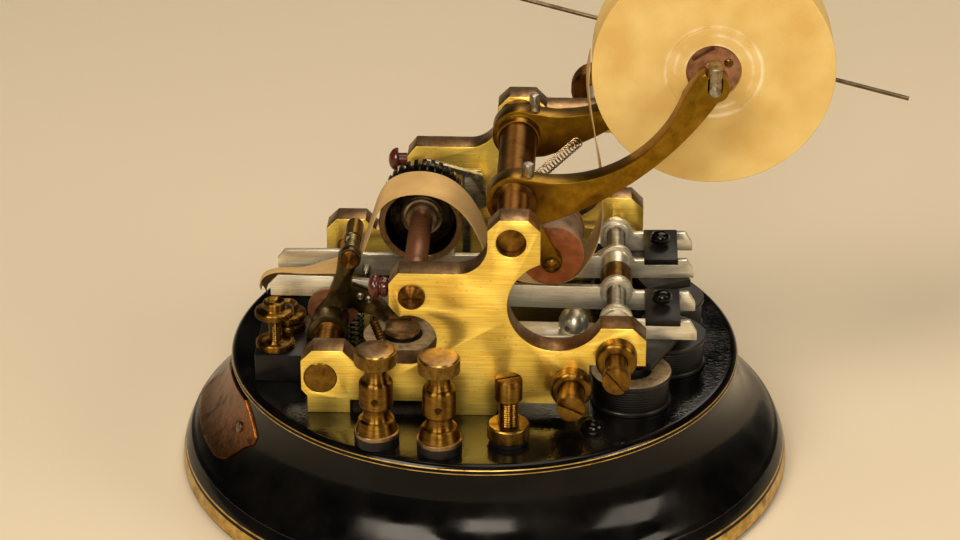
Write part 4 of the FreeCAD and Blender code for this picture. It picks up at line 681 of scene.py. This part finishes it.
lathe("reel_core", [(2.05, 0), (3.3, 0), (3.5, 0.2), (3.5, 1.8), (9.4, 1.8), (9.4, 17.2),
                    (3.5, 17.2), (3.5, 18.8), (3.3, 19), (2.05, 19), (2.05, 0)],
      (REEL_X, ROLL_FRONT, REEL_Z), "back", CORE, work=key_slot, width=0)
screw("core_screw", (REEL_X + 4.9, ROLL_FRONT + 1.8, REEL_Z + 2.6), "front", 1.5, 0.9, "roll",
      AGED, roll=40)
for name, y in (("front", -21.4), ("back", 37.0)):
    # The axle's ends are flattened to slide down the open slots of the arms.
    seat(cube("axle_flat_" + name, (4.1, 9, 9.4)), (REEL_X, y, REEL_Z + 3.3), "up", WORN_HUB,
         "frame", 0.7)


def hang_paper(tape):
    """The free end leans to the back, its rear edge lower and lower; the run from the roll
    turns a little on the way down."""
    pick(tape)
    bpy.ops.object.mode_set(mode="EDIT")
    for y in (-5, -2, 1, 4, 7, 9):
        bpy.ops.mesh.select_all(action="SELECT")
        bpy.ops.mesh.bisect(plane_co=(0, y * MM, 0), plane_no=(0, 1, 0))
    bpy.ops.object.mode_set(mode="OBJECT")
    for vertex in tape.data.vertices:
        x, y, z = vertex.co / MM
        back = (y - ROLL_FRONT) / TAPE_WIDTH
        out = min((-44 - x) / 28.8, 1.15)
        if out > 0 and y > -5:
            vertex.co.z -= ((y + 5) / 15.5) ** 1.2 * out * 9.9 * MM
        if x > 30 and 110 < z < 151:
            twist = math.sin((z - 110) / 41 * math.pi)
            vertex.co.x += twist * (0.7 - 1.9 * (back - 0.5)) * MM


softened("paper_tape", 0, TAPE_PAPER, sharp=60, shape=hang_paper)

# ------------------------------------------------------------------ guide roller
softened("guide_strap", 0.2)
screw("guide_pin_screw", (23.6, -17.5, ROLLER_Z), "front", 2.5, 1.1, "frame", AGED,
      roll=30, domed=0.2)
lathe("guide_roller", [(2.05, 0), (10.9, 0), (11.2, 0.3), (11.2, 1.6), (10.6, 1.7),
                       (10.6, 6), (10.6, 12), (10.6, 20.1), (11.2, 20.2), (11.2, 21.5),
                       (10.9, 21.8), (2.05, 21.8), (2.05, 0)],
      (ROLLER_X, -10, ROLLER_Z), "back", [FIBRE, TREAD],
      lambda radius, height, normal: int(radius > 10 and abs(normal.z) < 0.5), steps=96)

# ------------------------------------------------------------------ type wheel group
SLUGS, SLUG_FACES = 26, 6


def cut_slugs(wheel):
    """Part the rim into type blocks: a groove between each block and the next."""
    def rule(centre, normal):
        column = round(math.atan2(centre.y, centre.x) / TURN * SLUGS * SLUG_FACES - 0.5)
        return (math.hypot(centre.x, centre.y) > 14.5 and abs(normal.z) < 0.3
                and 0.6 < centre.z < 9.4 and column % SLUG_FACES < 2)
    choose(wheel, rule)
    bpy.ops.mesh.inset(thickness=0.06 * MM, depth=-0.6 * MM)
    bpy.ops.object.mode_set(mode="OBJECT")


def wheel_parts(radius, height, normal):
    """1 on the worn hub, 2 on the rim's front edge, 0 on the inky rest."""
    if radius < 7.4:
        return 1
    return 2 if radius > 12.4 and height < 0.3 else 0


lathe("type_wheel", [(4, 3.5), (5.3, 3.5), (5.6, 3.8), (5.6, 6.3), (6.4, 6.5), (7.2, 6.2),
                     (7.6, 6.5), (9.6, 6.5), (9.8, 6.2), (10.2, 6.2), (10.4, 6.5),
                     (11.1, 6.5), (12.5, 4.1), (12.5, 0.2), (12.7, 0), (14.5, 0),
                     (14.7, 0.2), (14.7, 0.6), (14.7, 5), (14.7, 9.4), (14.7, 9.8),
                     (14.5, 10), (4, 10), (4, 3.5)],
      (TYPE_X, 0, TYPE_Z), "back", [INKED_STEEL, WORN_HUB, PINK_BRASS], wheel_parts,
      steps=SLUGS * SLUG_FACES, width=0, work=cut_slugs)
softened("type_shaft", 0.15)
softened("escapement_wheel", 0.08, INKED_STEEL)
softened("front_bearing_screw", 0.12, DARK_TURNED)
lathe("front_lock_knob", [(0, -2.4), (1.8, -2.4), (1.8, 0), (2.7, 0.1), (3.3, 0.6),
                          (3.5, 1.3), (3.4, 2.1), (2.9, 2.7), (2.9, 2.9), (3.6, 3.2),
                          (4.1, 3.8), (4.3, 4.5), (4.1, 5.3), (3.5, 6.0), (2.5, 6.5),
                          (1.3, 6.75), (0, 6.8)],
      (LOCK_X, -50.5, LOCK_Z), "left", width=0, steps=48)
lathe("back_lock_knob", [(0, -2.4), (1.8, -2.4), (1.8, 0), (2.5, 0), (2.4, 2.9), (2.7, 3.2),
                         (4.1, 3.3), (4.3, 3.7), (4.2, 4.4), (3.7, 5.3), (2.8, 6.1),
                         (1.5, 6.65), (0, 6.8)],
      (LOCK_X, 51.3, LOCK_Z), "left", width=0, steps=48)

# ------------------------------------------------------------------ shafts and levers
softened("right_shaft", 0.1, GROUND_STEEL)
softened("shaft_spacer", 0.2)
for node in ("lever_a", "lever_b", "lever_c", "lever_d"):
    softened(node, 0.18)
for node in ("armature_block_1", "armature_block_2"):
    softened(node, 0.2, IRON)
for node in ("armature_slab_1", "armature_slab_2"):
    softened(node, 0.25)

# ------------------------------------------------------------------ magnet coils
COILS = {"front_coil_inner": (51.6, -41.6, 2.2), "front_coil_outer": (64, -14.1, 2.2),
         "rear_coil_inner": (51.6, 41.6, 2.2), "rear_coil_outer": (64, 14.1, 2.2),
         "left_coil_front": (-28, -18.6, 0.4), "left_coil_rear": (-28, 12.1, 0.4)}


def coil_parts(radius, height, normal):
    """2 on the iron pole, 1 on the upper cheek, 3 on the cheeks' rims, 0 on the winding.
    The upper cheeks of the inner and left coils take painted light; the rims, and the outer coils'
    upper cheeks, take painted shade.
    """
    if radius < 6.9:
        return 2
    if height > 11.2 and normal.z > 0.5:
        return 1
    return 3 if height < 1.6 or height > 9.7 else 0


# Painted light on the upper cheeks of the inner and left coils; painted shade on all rims and on the
# outer coils' cheeks.
for node, (x, y, rise) in COILS.items():
    lathe(node, [(0, 0), (13.6, 0), (13.9, 0.3), (13.9, 1.2), (13.6, 1.5), (13.0, 1.5),
                 (13.15, 2.4), (13.2, 5.6), (13.15, 8.9), (13.0, 9.8), (13.6, 9.8),
                 (13.9, 10.1), (13.9, 11), (13.6, 11.3), (7.2, 11.3), (7.0, 11.1),
                 (5, 11.1), (5, 10.9 + rise), (4.8, 11.3 + rise - 0.05), (0, 11.25 + rise)],
          (x, y, DECK), "up",
          [WINDING, CHEEK_PAINTED_LIT if rise < 1 or node.endswith("inner") else CHEEK_PAINTED_SHADE, IRON,
           CHEEK_PAINTED_SHADE],
          coil_parts, width=0)

# ------------------------------------------------------------------ printing lever
softened("left_shaft", 0.12, DARK_TURNED)
softened("print_lever", 0.18, [LEVER_BROWN, COPPER],
         rule=lambda centre, normal: int(centre.y > -10.7))
softened("print_armature", 0.2, PINK_BRASS)
SPINDLE = (-46.5, -15.2, 81.7)
neck_rings = [(radius, height + i * 1.3) for i in range(8)
              for radius, height in ((2.85, 6.2), (2.85, 6.8), (2.55, 6.95), (2.55, 7.35))]
lathe("feed_spindle", [(0, -0.8), (0.7, -0.8), (0.7, 0), (3.0, 0), (3.2, 0.2), (3.2, 1.15),
                       (2.8, 1.2), (2.8, 4.4), (3.2, 4.45), (3.2, 5.5), (3.0, 5.7)]
      + neck_rings + [(2.8, 16.7), (3.05, 16.7), (3.05, 27.8), (2.85, 28), (0, 28)],
      SPINDLE, "back", [AGED, LEVER_BROWN, DARK_TURNED],
      lambda radius, height, normal: 2 if height < 4.4 else int(5.7 < height < 16.6),
      width=0)
screw("spindle_set_screw", (SPINDLE[0] - 1.4, SPINDLE[1] + 11.5, SPINDLE[2] + 2.2),
      (-0.45, 0, 0.9), 1.3, 1.2, "printer", GROUND_STEEL)
spring("return_spring_wound", (-45.4, -5.4, DECK + 0.5), (-45.4, -5.4, DECK + 12.3), 2.55,
       0.5, 6, "frame", BLACK_WIRE)
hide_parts("return_spring")

# ------------------------------------------------------------------ pivots, front
for name, x, z, neck in (("right", 46.3, DECK + 23.8, 3.55), ("lower", 31.4, DECK + 12.5, 4.35)):
    lathe(name + "_pivot_nut", [(neck, 0), (7, 0), (7, 3.6), (6.8, 4.3), (6.4, 4.8), (6, 5),
                                (neck + 0.3, 5), (neck, 4.7), (neck, 0)],
          (x, PLATE_FRONT, z), "front", width=0)
    softened(name + "_pivot_screw", 0.15)

# ------------------------------------------------------------------ binding posts
THUMB_STEPS = 88


def thumb_knurl(head):
    """Leaning ridges round a thumb head."""
    knurl(head, (6.6, 0.7, 5.3, 6), THUMB_STEPS, 2, 0.14, 0.06)


def post_parts(radius, height, normal):
    """1 on the ebonite washer, 2 on the ring above it and the neck, 0 on the brass."""
    if height < 3.52:
        return 1
    return 2 if height < 5.05 or height > 27.6 else 0


def wire_way(post):
    """The cross hole that takes the line wire."""
    cut(post, (1.3, 24), (0, 0, 17.6), round_tool=True)


for number, x, y in (("1", -33.2, -74.0), ("2", -12.0, -78.6)):
    lathe("binding_post_" + number,
          [(0, 0), (7.3, 0), (7.5, 0.2), (7.5, 3.3), (7.3, 3.5), (7.4, 3.52), (7.6, 3.7),
           (7.6, 4.8), (7.4, 5.0), (7.0, 5.1), (6.8, 6.2), (6.3, 7.4), (6.1, 8.6),
           (5.9, 9.0), (5.0, 9.3), (4.5, 10.2), (4.3, 11.2), (4.3, 12.6), (4.6, 13.3),
           (5.2, 13.9), (5.65, 14.4), (5.65, 22.6), (5.5, 23.2), (5.1, 23.7), (4.5, 24.0),
           (3.8, 25.6), (3.7, 26.0), (3.7, 28.7), (3.5, 28.9), (1.95, 28.9), (1.95, 21.6),
           (0, 21.6)], (x, y, DECK), "up", [AGED_UP, EBONITE, PINK_BRASS], post_parts,
          width=0, work=wire_way)
    lathe("thumb_head_" + number,
          [(0, -7), (1.9, -7), (1.9, 0), (6.0, 0), (6.4, 0.2), (6.6, 0.7)]
          + [(6.9, h) for h in rows(0.7, 5.3, 6)]
          + [(6.6, 5.3), (6.3, 5.8), (5.7, 6), (2.6, 5.9), (0, 5.9)],
          (x, y, DECK + 29.2), "up", [KNURLED, PINK_BRASS],
          lambda radius, height, normal: int(height > 5.6), steps=THUMB_STEPS, width=0,
          work=thumb_knurl)


def nut_knurl(nut):
    """Finer ridges round the adjusting post's nut."""
    knurl(nut, (6.9, 2.0, 6.5, 5), 96, 2, 0.1, 0.05)


lathe("adjust_post_nut", [(0, 0), (6.2, 0), (6.4, 0.2), (6.4, 1.5), (6.5, 1.6), (6.8, 1.8),
                          (6.9, 2.0)] + [(7, h) for h in rows(2.0, 6.5, 5)]
      + [(6.8, 6.8), (6.5, 7), (3.6, 7), (3.4, 6.8), (3.4, 1.7), (0, 1.7)],
      (10.7, -72, DECK), "up", [KNURLED, EBONITE],
      lambda radius, height, normal: int(height < 1.58), steps=96, width=0, work=nut_knurl)
thread = [point for i in range(11) for point in ((3.35, 6.2 + i * 0.85), (3.05, 6.62 + i * 0.85))]


def post_slot(post):
    """The screwdriver slot across the post's top."""
    cut(post, (12, 0.9, 2.2), (0, 0, 24.2))


lathe("adjust_post_screw", [(0, 2), (3.3, 2), (3.35, 5.6)] + thread
      + [(3.35, 15.6), (4.5, 16.5), (4.6, 16.8), (4.6, 23.2), (4.3, 23.9), (3.8, 24.2),
         (0, 24.2)], (10.7, -72, DECK), "up", AGED_UP, width=0, roll=22, work=post_slot)

# ------------------------------------------------------------------ line terminals
softened("terminal_block", 0.4)
STACKS = {"a": (-71.6, -27.0, 11.9), "b": (-68.9, -12.7, 3.7)}
DISC_STEPS = 96


def leaning_knurl(disc):
    """Coarse leaning ridges round a terminal's disc."""
    knurl(disc, (6.3, 0.4, 2.2, 4), DISC_STEPS, 3, 0.3, 0.04)


for letter, (x, y, low) in STACKS.items():
    rim = [(6.5, h) for h in rows(0.4, 2.2, 4)]
    stem_top = low + 4.7
    stem_thread = [point for i in range(int((stem_top - 3) / 0.8))
                   for point in ((2.2, 2.9 + i * 0.8), (1.98, 3.3 + i * 0.8))]
    lathe("terminal_stud_" + letter,
          [(0, 0), (6.2, 0), (6.4, 0.2)] + rim + [(6.2, 2.5), (5.3, 2.6), (4.9, 1.8),
                                                  (3.2, 1.8), (2.2, 2.6)] + stem_thread
          + [(2.2, stem_top - 0.2), (2.0, stem_top), (0, stem_top)],
          (x, y, DECK + 10.2), "up", AGED_UP, steps=DISC_STEPS, width=0,
          work=leaning_knurl)
    lathe("terminal_nut_" + letter,
          [(2.25, 0), (6.1, 0), (6.4, 0.2)] + rim
          + [(6.2, 2.5), (5.5, 2.65), (4.2, 2.7), (3.9, 3.0), (3.9, 5.1), (3.7, 5.45),
             (3.3, 5.6), (3.0, 5.5), (2.25, 4.7), (2.25, 0)],
          (x, y, DECK + 10.2 + low), "up", AGED_UP, steps=DISC_STEPS, width=0,
          work=leaning_knurl)

# ------------------------------------------------------------------ rear knob and unison
KNOB_STEPS = 96


def knob_knurl(head):
    """Fine ridges round the setting knob."""
    knurl(head, (8.8, 30.8, 36.6, 6), KNOB_STEPS, 2, 0.1, 0.05)


lathe("setting_knob", [(0, 0), (2.7, 0), (3, 0.3), (3, 29.6), (8.2, 29.6), (8.8, 30.2),
                       (8.9, 30.8)] + [(8.95, h) for h in rows(30.8, 36.6, 6)]
      + [(8.7, 37.2), (8.2, 37.6), (4, 37.3), (0, 37.3)], (38, 42.5, DECK + 65), "back",
      [DARK_TURNED, STEEL], lambda radius, height, normal: int(radius < 3.2), steps=KNOB_STEPS,
      width=0, work=knob_knurl)
softened("unison_plate", 0.2, GREY_STEEL)
softened("unison_arm", 0.2, GREY_STEEL)

# ------------------------------------------------------------------ small screws and wires
for name, y in (("front", -18.0), ("rear", 28.2)):
    screw("yoke_screw_" + name, (62.0, y, DECK + 26.6), "up", 3.5, 3, "rocker_" + name,
          BLACK_SCREW, roll=35, domed=0.6)
for name, x, z in (("left", -42.9, DECK + 23.4), ("right", -39.9, DECK + 22.2)):
    screw("print_lever_screw_" + name, (x, -13.9, z), "front", 1.25, 0.9, "printer",
          GROUND_STEEL, roll=50)
dome = turned("deck_stud", [(0, -0.4), (4.6, -0.4), (4.6, 0.3), (4.2, 0.5), (4.1, 0.9),
                            (3.8, 1.8), (3.0, 2.7), (1.7, 3.25), (0, 3.4)], 48)
seat(dome, (39, -62.5, DECK), "up", BLACK_SCREW, "frame")
# A polished domed nut with a tommy hole, on a steel strip that crosses the deck.
seat(cube("deck_strip", (36, 11, 1.6)), (23, 5.5, DECK + 0.8), "up", STEEL, "frame",
     0.5)
nut = turned("domed_nut", [(0, -0.2), (4.4, -0.2), (4.8, 0.2), (5.3, 1.2), (5.5, 2.8),
                           (5.3, 4.6), (4.5, 6.3), (3.2, 7.4), (1.6, 7.9), (0, 8)], 64)
cut(nut, (1.1, 8), (-2.4, -4, 2.6), round_tool=True)
seat(nut, (31.6, 5.2, DECK + 1.6), "up", STEEL, "frame")
screw("badge_screw", (-83.3, -40.0, 28.7), (-0.838, -0.411, 0.359), 1.9, 1.1, "frame",
      DULL_ROD, roll=20, domed=0.2)
# The screws that pinch the arms' hubs on the crossbar stand up from them.
for name, at, height in (("front", (15.5, -20, 116.4), 6), ("back", (16.4, 35.5, 116), 8)):
    screw("hub_screw_" + name, at, "up", 1.9, height, "frame", GROUND_STEEL, roll=15,
          domed=0.12)
# The limit screw of a rear lever, and a ribbed stud that leans beside the left magnet.
screw("limit_screw", (-43, 15.4, DECK + 19.6), "front", 1.5, 6, "rocker_rear", GROUND_STEEL,
      roll=30, domed=0.15)
ribs = [point for i in range(9) for point in ((1.7, 1 + i * 1.1), (1.4, 1.5 + i * 1.1))]
stud = turned("leaning_stud", [(0, 0), (1.5, 0)] + ribs + [(1.7, 10.9), (1.2, 11.4), (0, 11.4)],
              32)
seat(stud, (-33.2, -30.4, DECK + 11.1), (-2.9, 4, 5.3), KNURLED, "frame")
spring("arm_spring", (18.4, -14, 114.5), (32.0, 31.2, 107.4), 1.8, 0.24, 15, "frame",
       PALE_WIRE)


# ------------------------------------------------------------------ finishes of the CAD nodes
for node, slot in SLOT_OF.items():
    NODES[node].data.materials.clear()
    NODES[node].data.materials.append(FINISH_OF_SLOT[slot])


# ------------------------------------------------------------------ stage
# Lamps: name, place and size in metres, watts.
FLOOR_TONE, SKY_STRENGTH, LAMP_TONE = "#C9BDA6", 0.5, "#FFF0DC"
LAMPS = (("key", (-0.75, -1.0, 1.35), 0.7, 24), ("fill", (1.2, -0.5, 0.9), 0.6, 9),
         ("front", (0.1, -1.5, 0.95), 0.5, 14), ("back", (0.3, 1.2, 1.3), 0.8, 7),
         ("top", (0.15, 0.15, 1.7), 0.9, 9))


def set_stage():
    """A plain warm floor; five soft lamps and a sky that darkens upwards, as in a room."""
    bpy.ops.object.select_all(action="DESELECT")
    bpy.ops.mesh.primitive_plane_add(size=12, location=(0, 0, 0))
    floor = bpy.context.object
    floor.name = "studio_floor"
    made, tree, shader = finish("pale_floor_paint", roughness=0.95, base=FLOOR_TONE)
    shader.inputs["Specular IOR Level"].default_value = 0.2
    floor.data.materials.append(made)
    world = bpy.data.worlds.new("soft_room")
    bpy.context.scene.world = world
    world.use_nodes = True
    tree = world.node_tree
    place = add(tree, "ShaderNodeTexCoord")
    parts = add(tree, "ShaderNodeSeparateXYZ", {0: place.outputs["Generated"]})
    tone = add(tree, "ShaderNodeValToRGB", {0: parts.outputs["Z"]})
    tone.color_ramp.elements[0].position, tone.color_ramp.elements[0].color = 0.0, colour("#A89C86")
    tone.color_ramp.elements[1].position, tone.color_ramp.elements[1].color = 0.35, colour("#1E1C19")
    tree.links.new(tone.outputs[0], tree.nodes["Background"].inputs["Color"])
    tree.nodes["Background"].inputs["Strength"].default_value = SKY_STRENGTH
    for name, where, size, watts in LAMPS:
        lamp = bpy.data.lights.new(name, "AREA")
        lamp.size, lamp.energy = size, watts
        lamp.color = colour(LAMP_TONE)[:3]
        holder = bpy.data.objects.new(name, lamp)
        bpy.context.scene.collection.objects.link(holder)
        holder.location = where
        aim = Vector((0, 0, 0.08)) - Vector(where)
        holder.rotation_euler = aim.to_track_quat("-Z", "Y").to_euler()


set_stage()

# ------------------------------------------------------------------ picture settings
bpy.context.scene.view_settings.view_transform = "Standard"
